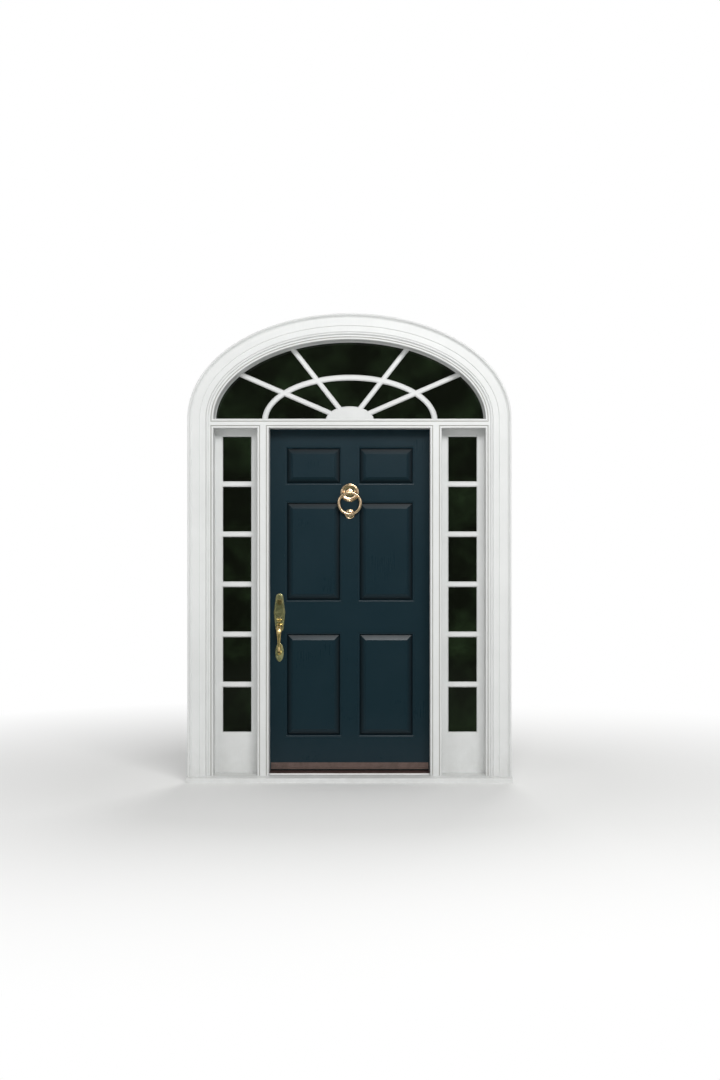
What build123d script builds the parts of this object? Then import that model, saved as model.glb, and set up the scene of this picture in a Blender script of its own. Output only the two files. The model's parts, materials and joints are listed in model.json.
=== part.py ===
"""Panelled front door in its frame, with sidelights and an elliptical fanlight.

Millimetres. X runs along the wall, the outside faces -Y, Z is up. The origin is in the
middle of the sill's underside, half way through the depth of the frame. Seen from the
outside the lock is on the left (-X) and the hinges are on the right (+X). The leaf
opens into the room, towards +Y.
"""

import os
from math import asin, cos, degrees, radians, sin

from build123d import *

# Leaf
leaf_width = 1016.0
leaf_height = 2134.0
leaf_thickness = 45.0
stile_width = 118.0
mid_stile_width = 126.0
top_rail_height = 131.0
frieze_rail_height = 126.0
lock_rail_height = 216.0
bottom_rail_height = 218.0
top_panel_height = 214.0
bottom_panel_height = 626.0

# Moulded edge and raised panels of the leaf
sticking_width = 14.0
sticking_quirk = 2.5
ovolo_radius = 10.0
panel_bite = 12.0
panel_tongue = 8.0
panel_clearance = 0.3
panel_bevel = 35.0
panel_field_edge = 1.0
panel_step = 2.5
panel_field_setback = 3.0

# Joinery
tenon_length = 20.0
tenon_thickness = 15.0
tenon_shoulder = 15.0
tenon_fit = 0.2
mullion_tenon_inset = 4.0

# Frame
frame_depth = 167.0
leaf_gap = 3.0
stop_overlap = 11.0
seal_gap = 3.0
mullion_width = 71.0
sidelight_width = 270.0
jamb_thickness = 35.0
bar_height = 56.0
arch_rise = 490.0

# Bead worked round every opening of the frame
bead_width = 13.0
bead_radius = 6.0
bead_depth = 10.0
quirk_width = 4.5
quirk_depth = 5.0

# Sill and threshold
sill_height = 36.0
sill_nose_height = 27.0
sill_nose_radius = 6.0
sill_projection = 50.0
sill_horn = 5.0
threshold_height = 14.0
threshold_lip = 7.0
threshold_front = 74.0
foot_gap = 2.0

# Casing
casing_reveal = 30.0
casing_width = 126.0
casing_fascia = 12.0
casing_second_fascia = 17.0
casing_cap = 27.0
casing_step_place = 50.0
casing_cap_step = 28.0
casing_bead = 5.0
casing_inner_bead = 7.0
casing_bead_sink = 5.0
casing_quirk = 3.0
casing_step_slope = 4.0
casing_groove = 2.0
casing_cove_place = 11.0
casing_cove_rise = 2.0
casing_lip = 1.0

# Sashes of the sidelights and the fanlight
sash_thickness = 45.0
sash_rebate = 10.0
sash_clearance = 1.0
sash_glass_width = 177.0
sash_top_rail = 55.0
sash_foot_rail = 253.0
pane_count = 6
muntin_width = 34.0
moulding_width = 7.0
moulding_depth = 8.0
glass_thickness = 6.0
glass_setback = 20.0
glass_bite = 8.0
glass_clearance = 0.5
glazing_bead_depth = 16.0
muntin_tenon = 6.0
muntin_tenon_thickness = 12.0

# Fanlight bars
fan_rim_width = 12.0
fan_rail_height = 19.0
fan_hub_half_width = 150.0
fan_hub_rise = 88.0
fan_arch_half_width = 529.0
fan_arch_rise = 267.0
fan_arch_bar = 35.0
fan_spoke_bar = 31.0
fan_spoke_drop = 8.0
fan_spoke_angles = (23.4, 51.8)
fan_glass_bite = 6.0
fan_groove_side = 0.2

# Butt hinges
hinge_height = 102.0
hinge_plate_width = 34.0
hinge_plate_thickness = 2.5
hinge_inset = 180.0
hinge_foot_inset = 250.0
hinge_screw_spacing = 36.7
hinge_screw_setback = 20.4
hinge_knuckles = 5
hinge_knuckle_gap = 0.4
barrel_radius = 6.0
barrel_offset = 6.5
pin_radius = 3.0
pin_head_radius = 5.0
pin_head_height = 3.0
running_fit = 0.05

# Screws
screw_length = 24.0
screw_head_radius = 4.0
screw_shank_radius = 2.0
screw_tip_radius = 0.5
screw_fit = 0.1

# Weatherstrip
seal_width = 8.0
seal_edge = 1.0
seal_kerf = 6.0
seal_kerf_width = 2.0
seal_rest_gap = 0.3

# Metal sweep along the foot of the leaf
sweep_half_width = 490.0
sweep_foot = 8.0
sweep_height = 40.0
sweep_thickness = 4.5
sweep_drip = 14.0
sweep_edge = 2.0
sweep_lip_top = 12.0
sweep_lip_height = 3.0

# Mortise lock, heights from the foot of the leaf
backset = 70.0
cylinder_height = 1048.0
latch_height = 973.0
thumb_height = 942.0
case_thickness = 18.0
case_back = 22.5
case_above = 45.0
case_below = 79.0
case_fit = 0.5
faceplate_width = 25.4
faceplate_thickness = 2.5
faceplate_overhang = 12.0
faceplate_screw_length = 20.0
latch_size = (14.0, 18.0)
latch_length = 38.0
latch_throw = 12.0
latch_nose_land = 1.0
deadbolt_size = (14.0, 25.0)
deadbolt_length = 50.0
deadbolt_throw = 25.0
deadbolt_edge = 1.0
bolt_fit = 0.15
strike_thickness = 2.0
strike_width = 30.0
strike_overhang = 38.0
strike_screw_inset = 10.0
strike_fit = 0.8
strike_depth_gap = 1.0

# Handleset
plate_thickness = 3.0
plate_layer = 3.0
plate_inset = 6.0
plate_edge = 2.0
upper_plate_top_radius = 22.0
upper_plate_radius = 35.0
upper_plate_foot_radius = 25.0
upper_plate_height = 240.0
upper_plate_centre = 980.0
lower_plate_radius = 25.5
lower_plate_height = 118.0
lower_plate_centre = 734.0
grip_reach = 62.0
cylinder_radius = 14.5
cylinder_collar = 8.0
cylinder_rim = 2.0
cylinder_rim_edge = 1.5
cylinder_setback = 4.0
plug_radius = 6.5
plug_end_gap = 1.0
keyway_width = 1.8
keyway_below = 4.5
keyway_above = 4.0
thumb_slot = 13.0
thumb_slot_below = 16.0
thumb_slot_above = 12.0
thumb_slot_depth = 12.0
thumb_neck = 12.0
thumb_pad_width = 34.0
thumb_pad_setback = 2.0
thumb_reach = 46.0
thumb_thickness = 4.0
thumb_pivot_depth = 10.0
thumb_drop = 14.0
thumb_pivot_radius = 3.2
thumb_slot_fit = 0.5
spindle_radius = 4.0
moving_gap = 0.3
inner_plate_width = 56.0
inner_plate_height = 210.0
inner_knob_radius = 26.0
inner_knob_reach = 58.0
inner_knob_start = 30.0
inner_knob_face = 17.0
inner_knob_crown = 3.0
inner_neck_radius = 10.0
inner_neck_height = 22.0
inner_collar_radius = 15.0
inner_collar_taper = 2.0
inner_collar_height = 8.0
thumbturn_length = 36.0
thumbturn_thickness = 10.0
thumbturn_reach = 16.0
thumbturn_disc_radius = 11.0
thumbturn_disc_height = 6.0
thumbturn_bore = 3.0
spindle_end_gap = 0.5
room_edge = 1.0

# Knocker, heights from the foot of the leaf
rose_radius = 57.0
rose_rim = 3.0
rose_bead_radius = 46.5
rose_bead_height = 13.0
rose_bowl_height = 8.0
rose_bowl_dish = 2.5
rose_rim_bead = 4.0
rose_bead_width = 8.0
rose_height = 1728.0
ring_radius = 67.5
ring_tube_radius = 9.2
ring_offset = 27.0
ring_pin_radius = 5.0
knuckle_radius = 11.0
knuckle_half_length = 12.0
knuckle_neck_radius = 8.0
knuckle_edge = 2.5
ring_knob_radius = 11.5
ring_groove_offset = 11.5
ring_groove_width = 2.0
ring_groove_depth = 1.6
striker_radius = 31.0
striker_rim = 2.5
striker_rim_width = 6.0
striker_shoulder = 5.5
striker_cove = 2.0
striker_neck = 9.0
striker_boss_radius = 10.0
striker_gap = 0.3

# Places that follow from the sizes above
face_y = -frame_depth / 2
room_y = frame_depth / 2
leaf_y = room_y - leaf_thickness
leaf_mid_y = room_y - leaf_thickness / 2
stop_y = leaf_y - seal_gap
sash_y = room_y - sash_thickness
half_leaf = leaf_width / 2
stop_depth = leaf_gap + stop_overlap
door_half = half_leaf + leaf_gap - stop_depth
rebate_x = half_leaf + leaf_gap
side_in = door_half + mullion_width
side_out = side_in + sidelight_width
side_mid = (side_in + side_out) / 2
frame_half = side_out + jamb_thickness
casing_in = side_out + casing_reveal
leaf_foot = sill_height + threshold_height + foot_gap
leaf_top = leaf_foot + leaf_height
head_z = leaf_top - stop_overlap
springline = head_z + bar_height
glass_y = sash_y + glass_setback
lock_x = backset - half_leaf
hinge_x = half_leaf + leaf_gap / 2
hinge_y = room_y + barrel_offset
cylinder_z = leaf_foot + cylinder_height
latch_z = leaf_foot + latch_height
thumb_z = leaf_foot + thumb_height
rose_z = leaf_foot + rose_height

os.makedirs("parts", exist_ok=True)


def save(part, name):
    """Label a finished piece and write it under its own name."""
    part.label = name
    export_step(part, f"parts/{name}.step")


def elevation(y):
    """Drawing plane of the wall at depth y: sketch x is X and sketch y is Z."""
    return Plane.XZ.offset(-y)


def outward(x, y, z):
    """Half section of something turned about a line that points out of the wall."""
    return Plane(origin=(x, y, z), x_dir=(1, 0, 0), z_dir=(0, 0, -1))


def inward(x, y, z):
    """Half section of something turned about a line that points into the room."""
    return Plane(origin=(x, y, z), x_dir=(1, 0, 0), z_dir=(0, 0, 1))


def block(x, y, z, mode=Mode.ADD, fit=0.0):
    """A box between pairs of x, y and z values, grown by a fit on every side."""
    middle = tuple((pair[0] + pair[1]) / 2 for pair in (x, y, z))
    size = [abs(pair[1] - pair[0]) + 2 * fit for pair in (x, y, z)]
    with Locations(middle):
        Box(*size, mode=mode)


def drill(x, y, z, radius, mode=Mode.SUBTRACT):
    """A round bar or hole through the wall between a pair of y values."""
    with BuildSketch(elevation(y[0])) as round_section:
        with Locations((x, z)):
            Circle(radius)
    extrude(round_section.sketch, amount=-(y[1] - y[0]), mode=mode)


# Sill
with BuildPart() as sill:
    nose_y = face_y - sill_projection
    with BuildSketch(Plane.YZ) as sill_section:
        with BuildLine():
            Polyline(
                (nose_y, 0),
                (room_y, 0),
                (room_y, sill_height),
                (face_y, sill_height),
                (nose_y, sill_nose_height),
                close=True,
            )
        make_face()
        nose_corner = sill_section.vertices().group_by(Axis.X)[0].sort_by(Axis.Y)[-1]
        fillet(nose_corner, sill_nose_radius)
    horn_half = casing_in + casing_width + sill_horn
    extrude(amount=horn_half, both=True)
    for side in (-1, 1):
        block(
            (side * frame_half, side * 2 * horn_half),
            (face_y, 2 * room_y),
            (-sill_height, 2 * sill_height),
            mode=Mode.SUBTRACT,
        )
save(sill.part, "sill")


# Threshold
with BuildPart() as threshold:
    front_y = leaf_y - threshold_front
    with BuildSketch(Plane.YZ):
        with BuildLine():
            Polyline(
                (front_y, sill_height),
                (room_y, sill_height),
                (room_y, sill_height + threshold_height),
                (stop_y, sill_height + threshold_height),
                (front_y, sill_height + threshold_lip),
                close=True,
            )
        make_face()
    extrude(amount=rebate_x, both=True)
    for side in (-1, 1):
        block(
            (side * door_half, side * rebate_x),
            (2 * face_y, stop_y),
            (0, 2 * sill_height),
            mode=Mode.SUBTRACT,
        )
save(threshold.part, "threshold")


# Frame members, sawn out of one moulded blank so that their beads meet in mitres


def door_outline(y, margin=0.0):
    """The doorway between its stops, wider by a margin on three sides."""
    with BuildSketch(elevation(y)) as outline:
        with Locations((0, sill_height)):
            Rectangle(
                2 * (door_half + margin),
                head_z + margin - sill_height,
                align=(Align.CENTER, Align.MIN),
            )
    return outline.sketch


def side_outline(side, y, margin=0.0):
    """A sidelight opening, wider by a margin on three sides."""
    with BuildSketch(elevation(y)) as outline:
        with Locations((side * side_mid, sill_height)):
            Rectangle(
                sidelight_width + 2 * margin,
                head_z + margin - sill_height,
                align=(Align.CENTER, Align.MIN),
            )
    return outline.sketch


def half_oval(y, half_width, rise, foot):
    """Upper half of an oval, ended level at a height, with straight sides below its middle."""
    with BuildSketch(elevation(y)) as oval:
        with Locations((0, springline)):
            Ellipse(half_width, rise)
        with Locations((0, max(foot, springline))):
            Rectangle(
                3 * half_width,
                3 * rise,
                align=(Align.CENTER, Align.MAX),
                mode=Mode.SUBTRACT,
            )
        if foot < springline:
            with Locations((0, foot)):
                Rectangle(2 * half_width, springline - foot, align=(Align.CENTER, Align.MIN))
    return oval.sketch


def fan_outline(y, margin=0.0):
    """The fanlight opening above the transom bar, grown by a margin."""
    return half_oval(y, side_out + margin, arch_rise + margin, springline - margin)


def left_outline(y, margin=0.0):
    """The sidelight opening beside the lock."""
    return side_outline(-1, y, margin)


def right_outline(y, margin=0.0):
    """The sidelight opening beside the hinges."""
    return side_outline(1, y, margin)


def bead_ring(outline):
    """The rounded bead round one opening, open at the foot where it meets the sill."""
    with BuildPart() as ring:
        extrude(outline(face_y, bead_width), amount=-bead_depth)
        extrude(outline(face_y), amount=-bead_depth, mode=Mode.SUBTRACT)
        front = ring.edges().group_by(Axis.Y)[0]
        fillet(front.filter_by(lambda e: e.center().Z > sill_height + 1), bead_radius)
    return ring.part


# Each opening: its outline, where its rebate starts and how wide the rebate is
openings = (
    (door_outline, stop_y, stop_depth),
    (left_outline, sash_y, sash_rebate),
    (right_outline, sash_y, sash_rebate),
    (fan_outline, sash_y, sash_rebate),
)

with BuildPart() as frame_blank:
    with BuildSketch(elevation(face_y)):
        with Locations((0, sill_height)):
            Rectangle(
                2 * frame_half,
                springline - sill_height,
                align=(Align.CENTER, Align.MIN),
            )
        with Locations((0, springline)):
            Ellipse(frame_half, arch_rise + jamb_thickness)
    extrude(amount=-frame_depth)
    for outline, rebate_y, rebate in openings:
        groove = outline(face_y, bead_width + quirk_width)
        extrude(groove, amount=-quirk_depth, mode=Mode.SUBTRACT)
        extrude(outline(rebate_y, rebate), amount=rebate_y - room_y, mode=Mode.SUBTRACT)
    for outline, rebate_y, rebate in openings:
        add(bead_ring(outline))
    for outline, rebate_y, rebate in openings:
        extrude(outline(face_y), amount=-frame_depth, mode=Mode.SUBTRACT)

# A tenon of the transom bar or of a mullion, in the thick of the frame
frame_tenon_y = (-2 * tenon_length, tenon_length)
bar_tenon_z = (head_z + tenon_shoulder, springline - tenon_shoulder)
mullion_tenon_in = rebate_x + mullion_tenon_inset
mullion_tenon_x = (mullion_tenon_in, mullion_tenon_in + mullion_width / 2)


def bar_tenon(side, mode=Mode.ADD, fit=0.0):
    """The stub at one end of the transom bar."""
    block(
        (side * side_out, side * (side_out + tenon_length)),
        frame_tenon_y,
        bar_tenon_z,
        mode=mode,
        fit=fit,
    )


def mullion_tenon(side, mode=Mode.ADD, fit=0.0):
    """The stub on top of a mullion."""
    block(
        (side * mullion_tenon_x[0], side * mullion_tenon_x[1]),
        frame_tenon_y,
        (head_z, head_z + tenon_length),
        mode=mode,
        fit=fit,
    )


for side, name in ((-1, "side_jamb_left"), (1, "side_jamb_right")):
    with BuildPart() as side_jamb:
        add(frame_blank.part)
        block(
            (side * side_out, side * 2 * frame_half),
            (2 * face_y, 2 * room_y),
            (0, springline),
            mode=Mode.INTERSECT,
        )
        bar_tenon(side, mode=Mode.SUBTRACT, fit=tenon_fit)
    save(side_jamb.part, name)

with BuildPart() as arched_head:
    add(frame_blank.part)
    block(
        (-2 * frame_half, 2 * frame_half),
        (2 * face_y, 2 * room_y),
        (springline, 3 * springline),
        mode=Mode.INTERSECT,
    )
save(arched_head.part, "arched_head")


# Screws, all of one size: a countersunk head on a tapering shank


def screw(x, y, z, direction, length=screw_length):
    """One screw, its head flush at a point and its shank along a direction."""
    place = Plane(origin=(x, y, z), z_dir=direction)
    with BuildPart() as one_screw:
        with BuildSketch(place):
            Circle(screw_head_radius)
        with BuildSketch(place.offset(hinge_plate_thickness)):
            Circle(screw_shank_radius)
        with BuildSketch(place.offset(length)):
            Circle(screw_tip_radius)
        loft(ruled=True)
    return one_screw.part


def screw_hole(x, y, z, direction, length=screw_length):
    """The countersink and pilot hole that one screw seats in, cut from the open part."""
    place = Plane(origin=(x, y, z), z_dir=direction)
    hole_radius = screw_shank_radius + screw_fit
    with BuildPart() as hole:
        with BuildSketch(place) as mouth:
            Circle(screw_head_radius + screw_fit)
        with BuildSketch(place.offset(hinge_plate_thickness)) as throat:
            Circle(hole_radius)
        loft([mouth.sketch, throat.sketch], ruled=True)
        with BuildSketch(place) as pilot:
            Circle(hole_radius)
        extrude(pilot.sketch, amount=length + screw_fit)
    add(hole.part, mode=Mode.SUBTRACT)


# Hinges, top to bottom, by the height of their middles
hinge_heights = (
    leaf_top - hinge_inset,
    (leaf_top - hinge_inset + leaf_foot + hinge_foot_inset) / 2,
    leaf_foot + hinge_foot_inset,
)
hinge_plate_y = (room_y - hinge_plate_width, room_y)
knuckle_height = hinge_height / hinge_knuckles
screw_rows = (-hinge_screw_spacing, 0.0, hinge_screw_spacing)
screw_column_y = room_y - hinge_screw_setback


def hinge_half(middle_z, side):
    """One plate of a hinge with its knuckles: side 1 is on the frame, -1 on the leaf."""
    plate_x = hinge_x + side * leaf_gap / 2
    plate = (plate_x, plate_x + side * hinge_plate_thickness)
    with BuildPart() as half:
        span = (middle_z - hinge_height / 2, middle_z + hinge_height / 2)
        block(plate, hinge_plate_y, span)
        for n in range(hinge_knuckles):
            if (n % 2 == 0) == (side == 1):
                foot = span[0] + n * knuckle_height + hinge_knuckle_gap / 2
                top = foot + knuckle_height - hinge_knuckle_gap
                block(plate, (room_y, hinge_y - barrel_radius / 2), (foot, top))
                with BuildSketch(Plane.XY.offset(foot)) as knuckle:
                    with Locations((hinge_x, hinge_y)):
                        Circle(barrel_radius)
                extrude(knuckle.sketch, amount=top - foot)
        with BuildSketch(Plane.XY.offset(span[0])) as bore:
            with Locations((hinge_x, hinge_y)):
                Circle(pin_radius + running_fit)
        extrude(bore.sketch, amount=hinge_height, mode=Mode.SUBTRACT)
        for row in screw_rows:
            screw_hole(plate_x, screw_column_y, middle_z + row, (side, 0, 0))
    return half.part


def hinge_seats(side):
    """Mortises and pilot holes for the three hinges, cut from the open part."""
    plate_x = hinge_x + side * leaf_gap / 2
    plate = (plate_x, plate_x + side * hinge_plate_thickness)
    for middle_z in hinge_heights:
        span = (middle_z - hinge_height / 2, middle_z + hinge_height / 2)
        block(plate, hinge_plate_y, span, mode=Mode.SUBTRACT)
        for row in screw_rows:
            screw_hole(plate_x, screw_column_y, middle_z + row, (side, 0, 0))


with BuildPart() as hinge_frame_plates:
    for middle_z in hinge_heights:
        add(hinge_half(middle_z, 1))
save(hinge_frame_plates.part, "hinge_frame_plates")

with BuildPart() as hinge_leaf_plates:
    for middle_z in hinge_heights:
        add(hinge_half(middle_z, -1))
save(hinge_leaf_plates.part, "hinge_leaf_plates")

with BuildPart() as hinge_pins:
    for middle_z in hinge_heights:
        foot = middle_z - hinge_height / 2
        with BuildSketch(Plane.XY.offset(foot - pin_head_height)) as foot_ball:
            with Locations((hinge_x, hinge_y)):
                Circle(pin_head_radius)
        extrude(foot_ball.sketch, amount=pin_head_height)
        with BuildSketch(Plane.XY.offset(foot)) as pin_section:
            with Locations((hinge_x, hinge_y)):
                Circle(pin_radius)
        extrude(pin_section.sketch, amount=hinge_height)
        with BuildSketch(Plane.XY.offset(foot + hinge_height)) as top_ball:
            with Locations((hinge_x, hinge_y)):
                Circle(pin_head_radius)
        extrude(top_ball.sketch, amount=pin_head_height)
save(hinge_pins.part, "hinge_pins")


# Strike plate in the lock-side mullion, with a hole for each bolt
strike_x = -rebate_x
strike_y = (leaf_mid_y - strike_width / 2, leaf_mid_y + strike_width / 2)
strike_z = (latch_z - strike_overhang, cylinder_z + strike_overhang)
strike_screws_z = (strike_z[0] + strike_screw_inset, strike_z[1] - strike_screw_inset)


def bolt_path(size, middle_z, x, fit, mode):
    """The room that a bolt of a given section takes between two x values."""
    block(
        x,
        (leaf_mid_y - size[0] / 2, leaf_mid_y + size[0] / 2),
        (middle_z - size[1] / 2, middle_z + size[1] / 2),
        mode=mode,
        fit=fit,
    )


def strike_pockets(mode=Mode.SUBTRACT):
    """Holes for the thrown latch and deadbolt, as deep as their throw."""
    latch_reach = -half_leaf - latch_throw - strike_depth_gap
    deadbolt_reach = -half_leaf - deadbolt_throw - strike_depth_gap
    bolt_path(latch_size, latch_z, (latch_reach, strike_x), strike_fit, mode)
    bolt_path(deadbolt_size, cylinder_z, (deadbolt_reach, strike_x), strike_fit, mode)


with BuildPart() as strike_plate:
    block((strike_x - strike_thickness, strike_x), strike_y, strike_z)
    strike_pockets()
    for row_z in strike_screws_z:
        screw_hole(strike_x, leaf_mid_y, row_z, (-1, 0, 0))
save(strike_plate.part, "strike_plate")


# Weatherstrip in a saw kerf of each stop
seal_in = door_half + seal_edge
seal_front = stop_y - seal_kerf


def seal_strip(x, z, kerf_x, kerf_z, mode=Mode.ADD):
    """One length of weatherstrip: a bulb on the stop and a barb in the kerf."""
    if mode == Mode.ADD:
        block(x, (stop_y, leaf_y - seal_rest_gap), z)
    block(kerf_x, (seal_front, stop_y), kerf_z, mode=mode)


def side_seal(side, mode=Mode.ADD):
    """The strip up one side of the doorway."""
    span = (sill_height + threshold_height, head_z)
    kerf = (side * (seal_in + seal_width / 2), side * (seal_in + seal_width / 2 + seal_kerf_width))
    seal_strip((side * seal_in, side * (seal_in + seal_width)), span, kerf, span, mode)


def head_seal(mode=Mode.ADD):
    """The strip across the head of the doorway."""
    foot = head_z + seal_edge
    width = (-door_half, door_half)
    kerf = (foot + seal_width / 2, foot + seal_width / 2 + seal_kerf_width)
    seal_strip(width, (foot, foot + seal_width), width, kerf, mode)


with BuildPart() as weatherstrip:
    for side in (-1, 1):
        side_seal(side)
    head_seal()
save(weatherstrip.part, "weatherstrip")


# Mullions and transom bar
for side, name in ((-1, "mullion_left"), (1, "mullion_right")):
    with BuildPart() as mullion:
        add(frame_blank.part)
        block(
            (side * door_half / 2, side * side_mid),
            (2 * face_y, 2 * room_y),
            (0, head_z),
            mode=Mode.INTERSECT,
        )
        mullion_tenon(side)
        side_seal(side, mode=Mode.SUBTRACT)
        if side == 1:
            hinge_seats(side)
        else:
            block((strike_x - strike_thickness, strike_x), strike_y, strike_z, Mode.SUBTRACT)
            strike_pockets()
            for row_z in strike_screws_z:
                screw_hole(strike_x, leaf_mid_y, row_z, (-1, 0, 0))
    save(mullion.part, name)

with BuildPart() as transom_bar:
    add(frame_blank.part)
    block(
        (-side_out, side_out),
        (2 * face_y, 2 * room_y),
        (head_z, springline),
        mode=Mode.INTERSECT,
    )
    for side in (-1, 1):
        bar_tenon(side)
        mullion_tenon(side, mode=Mode.SUBTRACT, fit=tenon_fit)
    head_seal(mode=Mode.SUBTRACT)
save(transom_bar.part, "transom_bar")

with BuildPart() as frame_screws:
    for middle_z in hinge_heights:
        for row in screw_rows:
            add(screw(rebate_x, screw_column_y, middle_z + row, (1, 0, 0)))
    for row_z in strike_screws_z:
        add(screw(strike_x, leaf_mid_y, row_z, (-1, 0, 0)))
save(frame_screws.part, "frame_screws")


# Casing: two legs and an arch of one moulding


def casing_section(plane):
    """Section of the casing: a bead, two fascias and a cap with a cove and a bead."""
    bead_foot = casing_fascia - casing_bead_sink
    bead_end = 2 * casing_inner_bead
    cap_start = casing_width - casing_cap
    cove_foot = casing_second_fascia - casing_quirk
    cap_bead = casing_width - 2 * casing_bead
    cap_z = casing_cap_step - casing_lip
    with BuildSketch(plane) as section:
        with BuildLine():
            Line((0, 0), (0, bead_foot))
            ThreePointArc(
                (0, bead_foot),
                (casing_inner_bead, bead_foot + casing_inner_bead),
                (bead_end, bead_foot),
            )
            Polyline(
                (bead_end, bead_foot),
                (bead_end + casing_quirk, casing_fascia),
                (casing_step_place, casing_fascia),
                (casing_step_place + casing_step_slope, casing_second_fascia),
                (cap_start, casing_second_fascia),
                (cap_start, cove_foot),
                (cap_start + casing_groove, cove_foot),
            )
            ThreePointArc(
                (cap_start + casing_groove, cove_foot),
                (cap_start + casing_cove_place, casing_second_fascia + casing_cove_rise),
                (cap_bead - casing_groove, cap_z),
            )
            Line((cap_bead - casing_groove, cap_z), (cap_bead, cap_z))
            ThreePointArc(
                (cap_bead, cap_z),
                (cap_bead + casing_bead, cap_z + casing_bead),
                (casing_width, cap_z),
            )
            Polyline((casing_width, cap_z), (casing_width, 0), (0, 0))
        make_face()
    return section.sketch


casing_plane = Plane(origin=(casing_in, face_y, springline), x_dir=(1, 0, 0), z_dir=(0, 0, -1))

with BuildPart() as casing_leg_right:
    extrude(casing_section(casing_plane), amount=springline)
    add(sill.part, mode=Mode.SUBTRACT)
save(casing_leg_right.part, "casing_leg_right")

with BuildPart() as casing_leg_left:
    mirror(casing_leg_right.part, about=Plane.YZ)
save(casing_leg_left.part, "casing_leg_left")

with BuildPart() as casing_arch:
    with BuildLine(elevation(face_y)) as casing_path:
        EllipticalCenterArc(
            (0, springline), casing_in, arch_rise + casing_reveal, start_angle=0, arc_size=180
        )
    sweep(casing_section(casing_plane), path=casing_path.line)
save(casing_arch.part, "casing_arch")


# Sidelight sashes: one moulded blank for each side, sawn into a frame and its muntins
sash_half = sidelight_width / 2 + sash_rebate - sash_clearance
sash_head = head_z + sash_rebate - sash_clearance
glass_foot = sill_height + sash_foot_rail
glass_head = sash_head - sash_top_rail
pane_height = (glass_head - glass_foot - (pane_count - 1) * muntin_width) / pane_count
pane_pitch = pane_height + muntin_width
pane_middles = [glass_foot + pane_height / 2 + n * pane_pitch for n in range(pane_count)]
muntin_middles = [middle + pane_pitch / 2 for middle in pane_middles[:-1]]


def pane_outlines(side, y, grow=0.0):
    """The six panes of one sidelight, each grown by a margin."""
    with BuildSketch(elevation(y)) as panes:
        with Locations([(side * side_mid, middle) for middle in pane_middles]):
            Rectangle(sash_glass_width + 2 * grow, pane_height + 2 * grow)
    return panes.sketch


def muntin_tenons(side, mode=Mode.ADD, fit=0.0):
    """The stub tenons at the ends of the five muntins of one side."""
    for middle in muntin_middles:
        for end in (-1, 1):
            shoulder = side * side_mid + end * sash_glass_width / 2
            block(
                (shoulder, shoulder + end * muntin_tenon),
                (sash_y + moulding_depth, sash_y + moulding_depth + muntin_tenon_thickness),
                (middle - muntin_width / 4, middle + muntin_width / 4),
                mode=mode,
                fit=fit,
            )


def sash_blank(side):
    """A sash with its panes cut out, moulded outside and rebated for glass inside."""
    with BuildPart() as blank:
        block(
            (side * side_mid - sash_half, side * side_mid + sash_half),
            (sash_y, room_y),
            (sill_height, sash_head),
        )
        extrude(pane_outlines(side, sash_y), amount=-sash_thickness, mode=Mode.SUBTRACT)
        front = blank.edges().group_by(Axis.Y)[0]
        inside = front.filter_by(lambda e: glass_foot - 1 < e.center().Z < glass_head + 1)
        middle = side * side_mid
        chamfer(
            inside.filter_by(lambda e: abs(e.center().X - middle) < sash_glass_width / 2 + 1),
            moulding_width,
        )
        rebates = pane_outlines(side, glass_y, glass_bite)
        extrude(rebates, amount=glass_y - room_y, mode=Mode.SUBTRACT)
    return blank.part


def muntin_zone(side, mode):
    """The part of a sash that its five muntins take up."""
    with BuildSketch(elevation(2 * face_y)) as zone:
        with Locations([(side * side_mid, middle) for middle in muntin_middles]):
            Rectangle(sash_glass_width, muntin_width)
    extrude(zone.sketch, amount=-4 * frame_depth, mode=mode)


sash_blanks = {side: sash_blank(side) for side in (-1, 1)}

for side, name in ((-1, "sidelight_frame_left"), (1, "sidelight_frame_right")):
    with BuildPart() as sidelight_frame:
        add(sash_blanks[side])
        muntin_zone(side, Mode.SUBTRACT)
        muntin_tenons(side, mode=Mode.SUBTRACT, fit=tenon_fit)
    save(sidelight_frame.part, name)


def muntin_set(side):
    """The five muntins of one side, coped to the sash."""
    with BuildPart() as muntins:
        add(sash_blanks[side])
        muntin_zone(side, Mode.INTERSECT)
        muntin_tenons(side)
    return muntins.part


with BuildPart() as sidelight_muntins:
    for side in (-1, 1):
        add(muntin_set(side))
save(sidelight_muntins.part, "sidelight_muntins")

with BuildPart() as sidelight_panes:
    for side in (-1, 1):
        glass = pane_outlines(side, glass_y, glass_bite - glass_clearance)
        extrude(glass, amount=-glass_thickness)
save(sidelight_panes.part, "sidelight_panes")

with BuildPart() as sidelight_beads:
    bead_y = glass_y + glass_thickness
    for side in (-1, 1):
        beads = pane_outlines(side, bead_y, glass_bite - tenon_fit)
        extrude(beads, amount=-glazing_bead_depth)
    for side in (-1, 1):
        sight = pane_outlines(side, bead_y)
        extrude(sight, amount=-glazing_bead_depth, mode=Mode.SUBTRACT)
save(sidelight_beads.part, "sidelight_beads")


# Fanlight: a rim with its rail, a hub, spokes, and an inner arch coped to the spokes
rim_half_width = side_out + sash_rebate - sash_clearance
rim_rise = arch_rise + sash_rebate - sash_clearance
rim_foot = springline - sash_rebate + sash_clearance
sight_half_width = rim_half_width - fan_rim_width
sight_rise = rim_rise - fan_rim_width
sight_foot = rim_foot + fan_rail_height
spoke_centre = springline - fan_spoke_drop
spoke_angles = [angle for pair in ((a, 180 - a) for a in fan_spoke_angles) for angle in pair]


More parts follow.
